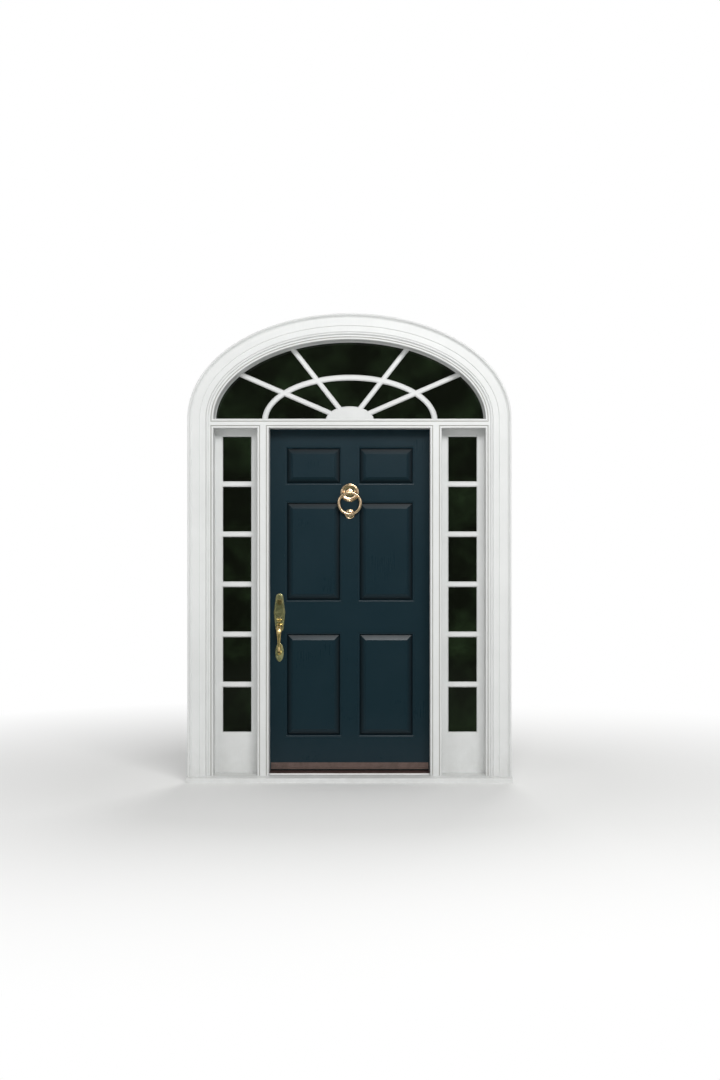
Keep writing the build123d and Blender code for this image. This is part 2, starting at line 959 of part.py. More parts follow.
with BuildPart() as fan_sash_shape:
    extrude(half_oval(sash_y, rim_half_width, rim_rise, rim_foot), amount=-sash_thickness)
    sight = half_oval(sash_y, sight_half_width, sight_rise, sight_foot)
    extrude(sight, amount=-sash_thickness, mode=Mode.SUBTRACT)
    rim_faces = fan_sash_shape.edges().group_by(Axis.Y)
    rim_front = [e for e in rim_faces[0] if e.geom_type == GeomType.ELLIPSE]
    chamfer(sorted(rim_front, key=lambda e: e.length)[0], moulding_width)

with BuildPart() as fan_hub_shape:
    hub = half_oval(sash_y, fan_hub_half_width, fan_hub_rise, sight_foot)
    extrude(hub, amount=-sash_thickness)
    hub_front = fan_hub_shape.edges().group_by(Axis.Y)[0]
    chamfer([e for e in hub_front if e.geom_type == GeomType.ELLIPSE], moulding_width)


def spoke_strips(y, width):
    """The four spokes as straight strips from the spoke centre to beyond the rim."""
    with BuildSketch(elevation(y)) as strips:
        for angle in spoke_angles:
            with Locations(Location((0, spoke_centre), angle)):
                with Locations((fan_hub_half_width / 2, 0)):
                    Rectangle(rim_half_width, width, align=(Align.MIN, Align.CENTER))
    return strips.sketch


def arch_bar(y, width):
    """The inner arch as a half-oval strip."""
    half = width / 2
    foot = sight_foot - fan_glass_bite
    with BuildSketch(elevation(y)) as strip:
        add(half_oval(y, fan_arch_half_width + half, fan_arch_rise + half, foot))
        add(
            half_oval(y, fan_arch_half_width - half, fan_arch_rise - half, foot),
            mode=Mode.SUBTRACT,
        )
    return strip.sketch


with BuildPart() as fan_spokes_shape:
    extrude(spoke_strips(sash_y, fan_spoke_bar), amount=-sash_thickness)
    spoke_front = fan_spokes_shape.edges().group_by(Axis.Y)[0]
    chamfer(spoke_front.filter_by(lambda e: e.length > fan_spoke_bar + 1), moulding_width)

with BuildPart() as fan_arch_shape:
    extrude(arch_bar(sash_y, fan_arch_bar), amount=-sash_thickness)
    arch_front = fan_arch_shape.edges().group_by(Axis.Y)[0]
    chamfer([e for e in arch_front if e.geom_type == GeomType.ELLIPSE], moulding_width)


def fan_glass(y, thickness, bite):
    """The ten panes of the fanlight, each reaching into its bars by a bite."""
    with BuildPart() as glass:
        sheet = half_oval(y, sight_half_width + bite, sight_rise + bite, sight_foot - bite)
        extrude(sheet, amount=-thickness)
        spokes = spoke_strips(y, fan_spoke_bar - 2 * bite)
        extrude(spokes, amount=-thickness, mode=Mode.SUBTRACT)
        extrude(arch_bar(y, fan_arch_bar - 2 * bite), amount=-thickness, mode=Mode.SUBTRACT)
        hub_half_width = fan_hub_half_width - bite
        hub = half_oval(y, hub_half_width, fan_hub_rise - bite, sight_foot - bite)
        extrude(hub, amount=-thickness, mode=Mode.SUBTRACT)
    return glass.part


fan_grooves = fan_glass(
    glass_y - fan_groove_side, glass_thickness + 2 * fan_groove_side, fan_glass_bite
)

with BuildPart() as fanlight_sash:
    add(fan_sash_shape.part)
    add(fan_grooves, mode=Mode.SUBTRACT)
save(fanlight_sash.part, "fanlight_sash")

with BuildPart() as fanlight_hub:
    add(fan_hub_shape.part)
    add(fan_grooves, mode=Mode.SUBTRACT)
save(fanlight_hub.part, "fanlight_hub")

with BuildPart() as fanlight_spokes:
    add(fan_spokes_shape.part)
    reach = (sight_half_width + moulding_width, sight_rise + moulding_width)
    extrude(half_oval(sash_y, *reach, sight_foot), amount=-sash_thickness, mode=Mode.INTERSECT)
    add(fan_sash_shape.part, mode=Mode.SUBTRACT)
    add(fan_hub_shape.part, mode=Mode.SUBTRACT)
    add(fan_grooves, mode=Mode.SUBTRACT)
save(fanlight_spokes.part, "fanlight_spokes")

with BuildPart() as fanlight_inner_arch:
    add(fan_arch_shape.part)
    add(fan_sash_shape.part, mode=Mode.SUBTRACT)
    add(fan_spokes_shape.part, mode=Mode.SUBTRACT)
    add(fan_grooves, mode=Mode.SUBTRACT)
save(fanlight_inner_arch.part, "fanlight_inner_arch")

save(fan_glass(glass_y, glass_thickness, fan_glass_bite - glass_clearance), "fanlight_panes")


# Leaf: rails and openings from the foot up
bottom_panel_z = (leaf_foot + bottom_rail_height, leaf_foot + bottom_rail_height + bottom_panel_height)
top_panel_z = (leaf_top - top_rail_height - top_panel_height, leaf_top - top_rail_height)
middle_panel_z = (bottom_panel_z[1] + lock_rail_height, top_panel_z[0] - frieze_rail_height)
stile_x = half_leaf - stile_width
panel_width = stile_x - mid_stile_width / 2
panel_rows = (("bottom", bottom_panel_z), ("middle", middle_panel_z), ("top", top_panel_z))


def panel_outline(side, row, y, margin=0.0):
    """The opening of one panel, grown by a margin."""
    with BuildSketch(elevation(y)) as outline:
        with Locations((side * (stile_x + mid_stile_width / 2) / 2, (row[0] + row[1]) / 2)):
            Rectangle(panel_width + 2 * margin, row[1] - row[0] + 2 * margin)
    return outline.sketch


def sticking(side, row):
    """The quirk and ovolo worked round one panel opening, on both faces."""
    thickness = leaf_thickness - 2 * sticking_quirk
    start_y = leaf_y + sticking_quirk
    middle_x = side * (stile_x + mid_stile_width / 2) / 2
    with BuildPart() as ring:
        extrude(panel_outline(side, row, start_y, sticking_width), amount=-thickness)
        extrude(panel_outline(side, row, start_y), amount=-thickness, mode=Mode.SUBTRACT)
        groups = ring.edges().group_by(Axis.Y)
        faces = groups[0] + groups[-1]
        inner = [
            e
            for e in faces
            if abs(e.center().X - middle_x) < panel_width / 2 + 1
            and row[0] - 1 < e.center().Z < row[1] + 1
        ]
        fillet(inner, ovolo_radius)
        groove_y = leaf_mid_y - panel_tongue / 2 - panel_clearance
        groove_thickness = panel_tongue + 2 * panel_clearance
        groove = panel_outline(side, row, groove_y, panel_bite)
        extrude(groove, amount=-groove_thickness, mode=Mode.SUBTRACT)
    return ring.part


with BuildPart() as leaf_blank:
    block((-half_leaf, half_leaf), (leaf_y, room_y), (leaf_foot, leaf_top))
    for row_name, row in panel_rows:
        for side in (-1, 1):
            cut = panel_outline(side, row, leaf_y, sticking_width)
            extrude(cut, amount=-leaf_thickness, mode=Mode.SUBTRACT)
    for row_name, row in panel_rows:
        for side in (-1, 1):
            add(sticking(side, row))


def leaf_zone(x, z):
    """Keep only the part of the leaf between two x and two z values."""
    block(x, (2 * face_y, 2 * room_y), z, mode=Mode.INTERSECT)


tenon_y = (leaf_mid_y - tenon_thickness / 2, leaf_mid_y + tenon_thickness / 2)


def rail_tenon(side, z, mode=Mode.ADD, fit=0.0):
    """The tenon of a rail into one stile."""
    span = (z[0] + tenon_shoulder, z[1] - tenon_shoulder)
    block((side * stile_x, side * (stile_x + tenon_length)), tenon_y, span, mode, fit)


def mid_stile_tenon(z, direction, mode=Mode.ADD, fit=0.0):
    """The tenon of a mid stile, up or down into a rail."""
    half = mid_stile_width / 2 - tenon_shoulder
    block((-half, half), tenon_y, (z, z + direction * tenon_length), mode, fit)


rails = (
    ("bottom_rail", (leaf_foot, bottom_panel_z[0]), (bottom_panel_z[0],), ()),
    ("lock_rail", (bottom_panel_z[1], middle_panel_z[0]), (middle_panel_z[0],), (bottom_panel_z[1],)),
    ("frieze_rail", (middle_panel_z[1], top_panel_z[0]), (top_panel_z[0],), (middle_panel_z[1],)),
    ("top_rail", (top_panel_z[1], leaf_top), (), (top_panel_z[1],)),
)

for name, span, tops, feet in rails:
    with BuildPart() as rail:
        add(leaf_blank.part)
        leaf_zone((-stile_x, stile_x), span)
        for side in (-1, 1):
            rail_tenon(side, span)
        for shoulder in tops:
            mid_stile_tenon(shoulder, -1, mode=Mode.SUBTRACT, fit=tenon_fit)
        for shoulder in feet:
            mid_stile_tenon(shoulder, 1, mode=Mode.SUBTRACT, fit=tenon_fit)
    save(rail.part, name)

for row_name, row in panel_rows:
    with BuildPart() as mid_stile:
        add(leaf_blank.part)
        leaf_zone((-mid_stile_width / 2, mid_stile_width / 2), row)
        mid_stile_tenon(row[0], -1)
        mid_stile_tenon(row[1], 1)
    save(mid_stile.part, f"mid_stile_{row_name}")


def raised_panel(side, row):
    """A panel with a tongue round it and a bevelled raised field on each face."""
    bevel_start_y = leaf_mid_y - panel_tongue / 2
    field_y = leaf_y + panel_field_setback
    with BuildPart() as panel:
        tongue = panel_outline(side, row, bevel_start_y, panel_bite - panel_clearance)
        extrude(tongue, amount=-panel_tongue / 2)
        edge = panel_outline(side, row, bevel_start_y, -panel_clearance)
        shoulder = panel_outline(side, row, field_y + panel_step, -panel_bevel)
        loft([edge, shoulder], ruled=True)
        field = panel_outline(side, row, field_y, -panel_bevel - panel_field_edge)
        extrude(field, amount=field_y - leaf_mid_y)
        mirror(about=Plane.XZ.offset(-leaf_mid_y))
    return panel.part


for row_name, row in panel_rows:
    for side, side_name in ((-1, "left"), (1, "right")):
        save(raised_panel(side, row), f"panel_{row_name}_{side_name}")


# Hinge stile
with BuildPart() as hinge_stile:
    add(leaf_blank.part)
    leaf_zone((stile_x, half_leaf), (leaf_foot, leaf_top))
    for name, span, tops, feet in rails:
        rail_tenon(1, span, mode=Mode.SUBTRACT, fit=tenon_fit)
    hinge_seats(-1)
save(hinge_stile.part, "hinge_stile")


# Metal sweep screwed to the foot of the leaf
sweep_z = leaf_foot + sweep_foot
with BuildPart() as door_sweep:
    with BuildSketch(Plane.YZ):
        with BuildLine():
            Polyline(
                (leaf_y, sweep_z + sweep_height),
                (leaf_y - sweep_thickness + sweep_edge, sweep_z + sweep_height),
                (leaf_y - sweep_thickness, sweep_z + sweep_height - sweep_edge),
                (leaf_y - sweep_thickness, sweep_z + sweep_lip_top),
                (leaf_y - sweep_drip, sweep_z + sweep_lip_height),
                (leaf_y - sweep_drip, sweep_z),
                (leaf_y, sweep_z),
                close=True,
            )
        make_face()
    extrude(amount=sweep_half_width, both=True)
save(door_sweep.part, "door_sweep")


# Mortise lock: a closed case with a room for each bolt and a bore for each spindle
face_x = (-half_leaf, -half_leaf + faceplate_thickness)
case_x = (face_x[1], lock_x + case_back)
case_y = (leaf_mid_y - case_thickness / 2, leaf_mid_y + case_thickness / 2)
case_z = (latch_z - case_below, cylinder_z + case_above)
faceplate_y = (leaf_mid_y - faceplate_width / 2, leaf_mid_y + faceplate_width / 2)
faceplate_z = (case_z[0] - faceplate_overhang, case_z[1] + faceplate_overhang)
faceplate_screws_z = (faceplate_z[0] + faceplate_overhang / 2, faceplate_z[1] - faceplate_overhang / 2)
latch_x = (-half_leaf, -half_leaf + latch_length)
deadbolt_x = (-half_leaf, -half_leaf + deadbolt_length)
cylinder_end_y = case_y[1] - cylinder_setback
turn_bore_y = case_y[1] - thumbturn_bore


def bolt_rooms(mode=Mode.SUBTRACT):
    """The channels that the withdrawn latch and deadbolt lie in."""
    bolt_path(latch_size, latch_z, latch_x, bolt_fit, mode)
    bolt_path(deadbolt_size, cylinder_z, deadbolt_x, bolt_fit, mode)


with BuildPart() as lock_case:
    block(case_x, case_y, case_z)
    bolt_rooms()
    drill(lock_x, (case_y[0] - 1, cylinder_end_y), cylinder_z, cylinder_radius)
    drill(lock_x, (leaf_mid_y, case_y[1] + 1), latch_z, spindle_radius + running_fit)
    drill(lock_x, (turn_bore_y, case_y[1] + 1), cylinder_z, spindle_radius + running_fit)
save(lock_case.part, "lock_case")

with BuildPart() as lock_faceplate:
    block(face_x, faceplate_y, faceplate_z)
    bolt_rooms()
    for row_z in faceplate_screws_z:
        screw_hole(-half_leaf, leaf_mid_y, row_z, (1, 0, 0), faceplate_screw_length)
save(lock_faceplate.part, "lock_faceplate")


# Outline of the handle plates: circles on one line, wrapped
upper_plate_z = (
    leaf_foot + upper_plate_centre - upper_plate_height / 2,
    leaf_foot + upper_plate_centre + upper_plate_height / 2,
)


def upper_outline(y, inset):
    """The long oval of the upper plate, drawn in by an inset."""
    with BuildSketch(elevation(y)) as outline:
        with Locations((lock_x, upper_plate_z[1] - upper_plate_top_radius)):
            Circle(upper_plate_top_radius - inset)
        with Locations((lock_x, leaf_foot + upper_plate_centre)):
            Circle(upper_plate_radius - inset)
        with Locations((lock_x, upper_plate_z[0] + upper_plate_foot_radius)):
            Circle(upper_plate_foot_radius - inset)
        make_hull()
    return outline.sketch


def lower_outline(y, inset):
    """The short oval of the lower plate, drawn in by an inset."""
    with BuildSketch(elevation(y)) as outline:
        with Locations((lock_x, leaf_foot + lower_plate_centre)):
            Ellipse(lower_plate_radius - inset, lower_plate_height / 2 - inset)
    return outline.sketch


plate_y = leaf_y - plate_thickness
layer_y = plate_y - plate_layer
thumb_slot_z = (thumb_z - thumb_slot_below, thumb_z + thumb_slot_above)

with BuildPart() as handle_upper_plate:
    extrude(upper_outline(leaf_y, 0), amount=plate_thickness)
    fillet(handle_upper_plate.edges().group_by(Axis.Y)[0], plate_edge)
    extrude(upper_outline(plate_y, plate_inset), amount=plate_layer)
    fillet(handle_upper_plate.edges().group_by(Axis.Y)[0], plate_edge)
    drill(lock_x, (layer_y - 1, leaf_y), cylinder_z, cylinder_radius)
    block(
        (lock_x - thumb_slot / 2, lock_x + thumb_slot / 2),
        (layer_y - 1, leaf_y),
        thumb_slot_z,
        mode=Mode.SUBTRACT,
    )
save(handle_upper_plate.part, "handle_upper_plate")

with BuildPart() as handle_lower_plate:
    extrude(lower_outline(leaf_y, 0), amount=plate_thickness)
    fillet(handle_lower_plate.edges().group_by(Axis.Y)[0], plate_edge)
    extrude(lower_outline(plate_y, plate_inset), amount=plate_layer)
    fillet(handle_lower_plate.edges().group_by(Axis.Y)[0], plate_edge)
save(handle_lower_plate.part, "handle_lower_plate")


# Grip: a bow lofted through ovals from the upper plate to the lower one
grip_top_z = upper_plate_z[0] + 1.5 * upper_plate_foot_radius
grip_foot_z = leaf_foot + lower_plate_centre - 6
grip_out_y = layer_y - grip_reach


def grip_oval(y, z, turn, width, depth):
    """One oval of the grip, square to the bow, which has turned so far from straight up."""
    along = (0, sin(radians(turn)), cos(radians(turn)))
    with BuildSketch(Plane(origin=(lock_x, y, z), x_dir=(1, 0, 0), z_dir=along)) as oval:
        Ellipse(width / 2, depth / 2)
    return oval.sketch


with BuildPart() as handle_grip:
    grip_ovals = [
        grip_oval(layer_y, grip_top_z, 270, 44, 36),
        grip_oval(layer_y - 0.35 * grip_reach, grip_top_z + 1, 268, 38, 30),
        grip_oval(layer_y - 0.78 * grip_reach, grip_top_z - 12, 225, 36, 25),
        grip_oval(grip_out_y, grip_top_z - 44, 182, 28, 17),
        grip_oval(grip_out_y + 4, (grip_top_z + grip_foot_z) / 2, 180, 19, 13),
        grip_oval(layer_y - 0.82 * grip_reach, grip_foot_z + 42, 172, 18, 12),
        grip_oval(layer_y - 0.45 * grip_reach, grip_foot_z + 10, 132, 20, 15),
        grip_oval(layer_y, grip_foot_z, 90, 24, 24),
    ]
    loft(grip_ovals)
save(handle_grip.part, "handle_grip")


# Key cylinder with its collar, and the plug that a key turns
collar_y = layer_y - cylinder_collar
plug_end_y = cylinder_end_y - cylinder_setback - plug_end_gap
with BuildPart() as key_cylinder:
    drill(lock_x, (collar_y, layer_y), cylinder_z, cylinder_radius + cylinder_rim, Mode.ADD)
    chamfer(key_cylinder.edges().group_by(Axis.Y)[0], cylinder_rim_edge)
    drill(lock_x, (layer_y, cylinder_end_y), cylinder_z, cylinder_radius, mode=Mode.ADD)
    plug_room = (collar_y - 1, plug_end_y + plug_end_gap)
    drill(lock_x, plug_room, cylinder_z, plug_radius + running_fit)
save(key_cylinder.part, "key_cylinder")

with BuildPart() as key_plug:
    drill(lock_x, (collar_y - 1, plug_end_y), cylinder_z, plug_radius, mode=Mode.ADD)
    block(
        (lock_x - keyway_width / 2, lock_x + keyway_width / 2),
        (collar_y - 2, leaf_y),
        (cylinder_z - keyway_below, cylinder_z + keyway_above),
        mode=Mode.SUBTRACT,
    )
save(key_plug.part, "key_plug")


# Bolts
with BuildPart() as latch_bolt:
    bolt_path(latch_size, latch_z, latch_x, 0, Mode.ADD)
    nose = latch_bolt.edges().filter_by(Axis.Z).group_by(Axis.X)[0].sort_by(Axis.Y)[0]
    chamfer(nose, latch_throw - latch_nose_land)
save(latch_bolt.part, "latch_bolt")

with BuildPart() as deadbolt:
    bolt_path(deadbolt_size, cylinder_z, deadbolt_x, 0, Mode.ADD)
    chamfer(deadbolt.faces().sort_by(Axis.X)[0].edges(), deadbolt_edge)
save(deadbolt.part, "deadbolt")


# Thumb piece: a dished pad on a neck that runs through the plate to its pivot
thumb_pivot_y = leaf_y + thumb_pivot_depth
thumb_tip_y = layer_y - thumb_reach
with BuildPart() as thumb_piece:
    with BuildSketch(Plane.YZ.offset(lock_x)):
        with BuildLine():
            half_thick = thumb_thickness / 2
            arm_end_y = layer_y - thumb_thickness
            bend_y = (arm_end_y + thumb_tip_y) / 2
            tip_z = thumb_z - thumb_drop
            Polyline(
                (arm_end_y, thumb_z + half_thick),
                (thumb_pivot_y, thumb_z + half_thick),
                (thumb_pivot_y, thumb_z - half_thick),
                (arm_end_y, thumb_z - half_thick),
            )
            ThreePointArc(
                (arm_end_y, thumb_z - half_thick),
                (bend_y, thumb_z - half_thick - thumb_drop / 3),
                (thumb_tip_y, tip_z - half_thick),
            )
            ThreePointArc(
                (thumb_tip_y, tip_z - half_thick),
                (thumb_tip_y - half_thick, tip_z),
                (thumb_tip_y, tip_z + half_thick),
            )
            ThreePointArc(
                (thumb_tip_y, tip_z + half_thick),
                (bend_y, thumb_z + half_thick - thumb_drop / 3),
                (arm_end_y, thumb_z + half_thick),
            )
        make_face()
    extrude(amount=thumb_pad_width / 2, both=True)
    with BuildSketch(Plane.XY.offset(thumb_z)):
        with Locations((lock_x, (layer_y + thumb_tip_y) / 2 - thumb_pad_setback)):
            Ellipse(thumb_pad_width / 2, thumb_reach / 2 - thumb_pad_setback)
        with Locations((lock_x, (layer_y + thumb_tip_y) / 2)):
            Rectangle(
                thumb_neck,
                thumb_pivot_y - thumb_tip_y,
                align=(Align.CENTER, Align.MIN),
            )
    extrude(amount=thumb_reach, both=True, mode=Mode.INTERSECT)
    with BuildSketch(Plane.YZ.offset(lock_x)) as pivot_section:
        with Locations((thumb_pivot_y, thumb_z)):
            Circle(thumb_pivot_radius)
    extrude(pivot_section.sketch, amount=thumb_slot / 2 - thumb_slot_fit, both=True)
save(thumb_piece.part, "thumb_piece")


# Room side: plate, knob and thumbturn
inner_y = room_y + plate_thickness
with BuildPart() as inner_plate:
    with BuildSketch(elevation(room_y)):
        with Locations((lock_x, (latch_z + cylinder_z) / 2)):
            SlotOverall(inner_plate_height, inner_plate_width, rotation=90)
    extrude(amount=-plate_thickness)
    chamfer(inner_plate.edges().group_by(Axis.Y)[-1], room_edge)
    drill(lock_x, (room_y - 1, inner_y + 1), latch_z, spindle_radius + running_fit)
    drill(lock_x, (room_y - 1, inner_y + 1), cylinder_z, spindle_radius + running_fit)
save(inner_plate.part, "inner_plate")

with BuildPart() as inner_knob:
    neck_y = inner_y + moving_gap
    knob_back_y = neck_y + inner_knob_start
    knob_front_y = neck_y + inner_knob_reach - inner_knob_crown
    spindle_end_y = leaf_mid_y + spindle_end_gap
    with BuildSketch(inward(lock_x, 0, latch_z)) as knob_section:
        with BuildLine():
            Polyline(
                (0, spindle_end_y),
                (spindle_radius, spindle_end_y),
                (spindle_radius, neck_y),
                (inner_collar_radius, neck_y),
                (inner_collar_radius - inner_collar_taper, neck_y + inner_collar_height),
                (inner_neck_radius, neck_y + inner_neck_height),
                (inner_knob_face, knob_back_y),
            )
            ThreePointArc(
                (inner_knob_face, knob_back_y),
                (inner_knob_radius, neck_y + 0.72 * inner_knob_reach),
                (inner_knob_face, knob_front_y),
            )
            Polyline(
                (inner_knob_face, knob_front_y),
                (0, neck_y + inner_knob_reach),
                (0, spindle_end_y),
            )
        make_face()
    revolve(knob_section.sketch, axis=Axis((lock_x, 0, latch_z), (0, 1, 0)))
save(inner_knob.part, "inner_knob")

with BuildPart() as thumbturn:
    disc_y = inner_y + thumbturn_disc_height
    spindle_y = (turn_bore_y + spindle_end_gap, disc_y)
    drill(lock_x, spindle_y, cylinder_z, spindle_radius, mode=Mode.ADD)
    drill(lock_x, (inner_y + moving_gap, disc_y), cylinder_z, thumbturn_disc_radius, Mode.ADD)
    with BuildSketch(elevation(disc_y)) as turn_outline:
        with Locations((lock_x, cylinder_z)):
            Ellipse(thumbturn_thickness / 2, thumbturn_length / 2)
    extrude(turn_outline.sketch, amount=-thumbturn_reach)
    chamfer(thumbturn.edges().group_by(Axis.Y)[-1], room_edge)
save(thumbturn.part, "thumbturn")


# Lock stile, cut out for everything that it carries
with BuildPart() as lock_stile:
    add(leaf_blank.part)
    leaf_zone((-half_leaf, -stile_x), (leaf_foot, leaf_top))
    for name, span, tops, feet in rails:
        rail_tenon(-1, span, mode=Mode.SUBTRACT, fit=tenon_fit)
    block(face_x, faceplate_y, faceplate_z, Mode.SUBTRACT)
    block(case_x, case_y, case_z, Mode.SUBTRACT, case_fit)
    drill(lock_x, (leaf_y, leaf_mid_y), cylinder_z, cylinder_radius + case_fit)
    drill(lock_x, (leaf_mid_y, room_y), cylinder_z, spindle_radius + case_fit)
    drill(lock_x, (leaf_mid_y, room_y), latch_z, spindle_radius + case_fit)
    block(
        (lock_x - thumb_slot / 2, lock_x + thumb_slot / 2),
        (leaf_y, thumb_pivot_y + thumb_slot_depth),
        thumb_slot_z,
        mode=Mode.SUBTRACT,
    )
    for row_z in faceplate_screws_z:
        screw_hole(-half_leaf, leaf_mid_y, row_z, (1, 0, 0), faceplate_screw_length)
save(lock_stile.part, "lock_stile")

with BuildPart() as leaf_screws:
    for middle_z in hinge_heights:
        for row in screw_rows:
            add(screw(half_leaf, screw_column_y, middle_z + row, (-1, 0, 0)))
    for row_z in faceplate_screws_z:
        add(screw(-half_leaf, leaf_mid_y, row_z, (1, 0, 0), faceplate_screw_length))
save(leaf_screws.part, "leaf_screws")


# Knocker: a turned rose with a knuckle, a ring on its pin, and a striker
ring_y = leaf_y - ring_offset
pin_half_length = knuckle_half_length + ring_tube_radius / 2
ring_drop = (ring_radius**2 - pin_half_length**2) ** 0.5
ring_middle_z = rose_z - ring_drop
ring_axis = Axis((0, ring_y, ring_middle_z), (0, 1, 0))
knob_z = ring_middle_z - ring_radius


def bar_across(radius, half_length, mode=Mode.ADD):
    """A round bar or bore along X through the knuckle."""
    with BuildSketch(Plane.YZ.offset(-half_length)) as bar_section:
        with Locations((ring_y, rose_z)):
            Circle(radius)
    extrude(bar_section.sketch, amount=2 * half_length, mode=mode)


with BuildPart() as knocker_rose:
    bead_in = rose_bead_radius - rose_bead_width / 2
    bead_out = rose_bead_radius + rose_bead_width / 2
    rim_in = rose_radius - rose_rim_bead
    rim_top = 2 * rose_rim
    bowl_edge = knuckle_neck_radius + rose_bead_width / 2
    with BuildSketch(outward(0, leaf_y, rose_z)) as rose_section:
        with BuildLine():
            Polyline((0, 0), (rose_radius, 0), (rose_radius, rose_rim))
            ThreePointArc(
                (rose_radius, rose_rim),
                (rose_radius - 0.4 * rose_rim_bead, 1.7 * rose_rim),
                (rim_in, rim_top),
            )
            Line((rim_in, rim_top), (bead_out, rim_top))
            ThreePointArc(
                (bead_out, rim_top),
                (rose_bead_radius, rose_bead_height),
                (bead_in, rose_bowl_height),
            )
            ThreePointArc(
                (bead_in, rose_bowl_height),
                (bead_in / 2, rose_bowl_height - rose_bowl_dish),
                (bowl_edge, rose_bowl_height),
            )
            Polyline((bowl_edge, rose_bowl_height), (0, rose_bowl_height), (0, 0))
        make_face()
    revolve(rose_section.sketch, axis=Axis((0, 0, rose_z), (0, 1, 0)))
    neck_y = (ring_y, leaf_y - rose_bowl_height + 1)
    drill(0, neck_y, rose_z, knuckle_neck_radius, mode=Mode.ADD)
    bar_across(knuckle_radius, knuckle_half_length)
    round_edges = knocker_rose.edges().filter_by(GeomType.CIRCLE)
    knuckle_ends = [e for e in round_edges if abs(abs(e.center().X) - knuckle_half_length) < 0.1]
    chamfer(knuckle_ends, knuckle_edge)
    bar_across(ring_pin_radius + running_fit, knuckle_half_length, mode=Mode.SUBTRACT)
save(knocker_rose.part, "knocker_rose")

with BuildPart() as knocker_ring:
    gap_angle = degrees(asin(pin_half_length / ring_radius))
    start = (pin_half_length, ring_y, rose_z)
    heading = (cos(radians(gap_angle)), 0, -sin(radians(gap_angle)))
    with BuildSketch(Plane(origin=start, z_dir=heading)) as tube:
        Circle(ring_tube_radius)
    revolve(tube.sketch, axis=ring_axis, revolution_arc=360 - 2 * gap_angle)
    for side in (-1, 1):
        with Locations((side * pin_half_length, ring_y, rose_z)):
            Sphere(ring_tube_radius)
    keep_clear = knuckle_half_length + striker_gap
    bar_across(3 * ring_tube_radius, keep_clear, mode=Mode.SUBTRACT)
    bar_across(ring_pin_radius, pin_half_length)
    with Locations((0, ring_y, knob_z)):
        Sphere(ring_knob_radius)
    for side in (-1, 1):
        turn = asin(side * ring_groove_offset / ring_radius)
        middle = (ring_radius * sin(turn), ring_y, ring_middle_z - ring_radius * cos(turn))
        along = (cos(turn), 0, sin(turn))
        with BuildSketch(Plane(origin=middle, z_dir=along)) as groove:
            Circle(2 * ring_tube_radius)
            Circle(ring_tube_radius - ring_groove_depth, mode=Mode.SUBTRACT)
        extrude(groove.sketch, amount=ring_groove_width / 2, both=True, mode=Mode.SUBTRACT)
save(knocker_ring.part, "knocker_ring")

with BuildPart() as knocker_striker:
    boss = striker_boss_radius
    boss_top = ring_offset - ring_knob_radius - striker_gap
    with BuildSketch(outward(0, leaf_y, knob_z)) as striker_section:
        with BuildLine():
            Polyline((0, 0), (striker_radius, 0), (striker_radius, striker_rim))
            ThreePointArc(
                (striker_radius, striker_rim),
                (striker_radius - striker_cove, 2 * striker_rim),
                (striker_radius - striker_rim_width, striker_shoulder),
            )
            ThreePointArc(
                (striker_radius - striker_rim_width, striker_shoulder),
                (boss + striker_rim_width, striker_neck - striker_cove),
                (boss + striker_cove, striker_neck),
            )
            Polyline(
                (boss + striker_cove, striker_neck),
                (boss, striker_neck + striker_cove / 2),
                (boss, boss_top),
                (0, boss_top),
                (0, 0),
            )
        make_face()
    revolve(striker_section.sketch, axis=Axis((0, 0, knob_z), (0, 1, 0)))
save(knocker_striker.part, "knocker_striker")
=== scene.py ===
# %% [markdown]
# # A panelled front door in its frame
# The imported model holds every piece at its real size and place. This lesson gives each
# piece the finish of the real door: brushed white paint on the woodwork, dark satin paint
# on the leaf, polished brass on the knocker and the handle, and dark glass.
# Lengths are in metres. X runs along the wall, -Y is outside and Z is up.

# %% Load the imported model
import json
import math

import bpy
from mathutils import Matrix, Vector

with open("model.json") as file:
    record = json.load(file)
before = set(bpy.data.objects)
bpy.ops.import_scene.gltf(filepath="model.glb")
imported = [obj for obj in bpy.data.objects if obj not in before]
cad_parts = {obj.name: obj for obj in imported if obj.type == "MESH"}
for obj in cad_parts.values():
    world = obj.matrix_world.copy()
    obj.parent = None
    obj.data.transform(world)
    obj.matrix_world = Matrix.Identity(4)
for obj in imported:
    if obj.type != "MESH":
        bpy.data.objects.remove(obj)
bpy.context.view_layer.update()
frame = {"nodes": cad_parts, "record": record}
nodes = frame["nodes"]
print("pieces in the packed model:", len(nodes))

# %% [markdown]
# ## The camera
# The photograph was taken from a little right of the door's middle, at eye height. Its
# uprights are parallel and its rails are level, so the camera looked straight along +Y. The
# door stands left of the picture's centre all the same. A shift of the lens does that. A turn
# of the camera would make the rails run together on one side. The Standard view shows
# colours as the materials give them.

# %% Camera at the photograph's place
eye = (0.157, -9.4335, 1.5476)
level_gaze = (math.radians(90), 0, 0)
picture_width_px, picture_height_px = 720, 1080
focal_length_px = 1520
vanishing_point_px = (375, 530)
sensor_height_mm = 36

camera = bpy.data.objects.new("camera", bpy.data.cameras.new("camera"))
bpy.context.scene.collection.objects.link(camera)
camera.location = eye
camera.rotation_euler = level_gaze
# With its automatic fit, Blender lays the sensor's width along the picture's longer side.
camera.data.sensor_width = sensor_height_mm
camera.data.lens = focal_length_px / picture_height_px * sensor_height_mm
camera.data.shift_x = (picture_width_px / 2 - vanishing_point_px[0]) / picture_height_px
camera.data.shift_y = (vanishing_point_px[1] - picture_height_px / 2) / picture_height_px
bpy.context.scene.camera = camera
bpy.context.scene.view_settings.view_transform = "Standard"
print("lens", round(camera.data.lens, 2), "mm")

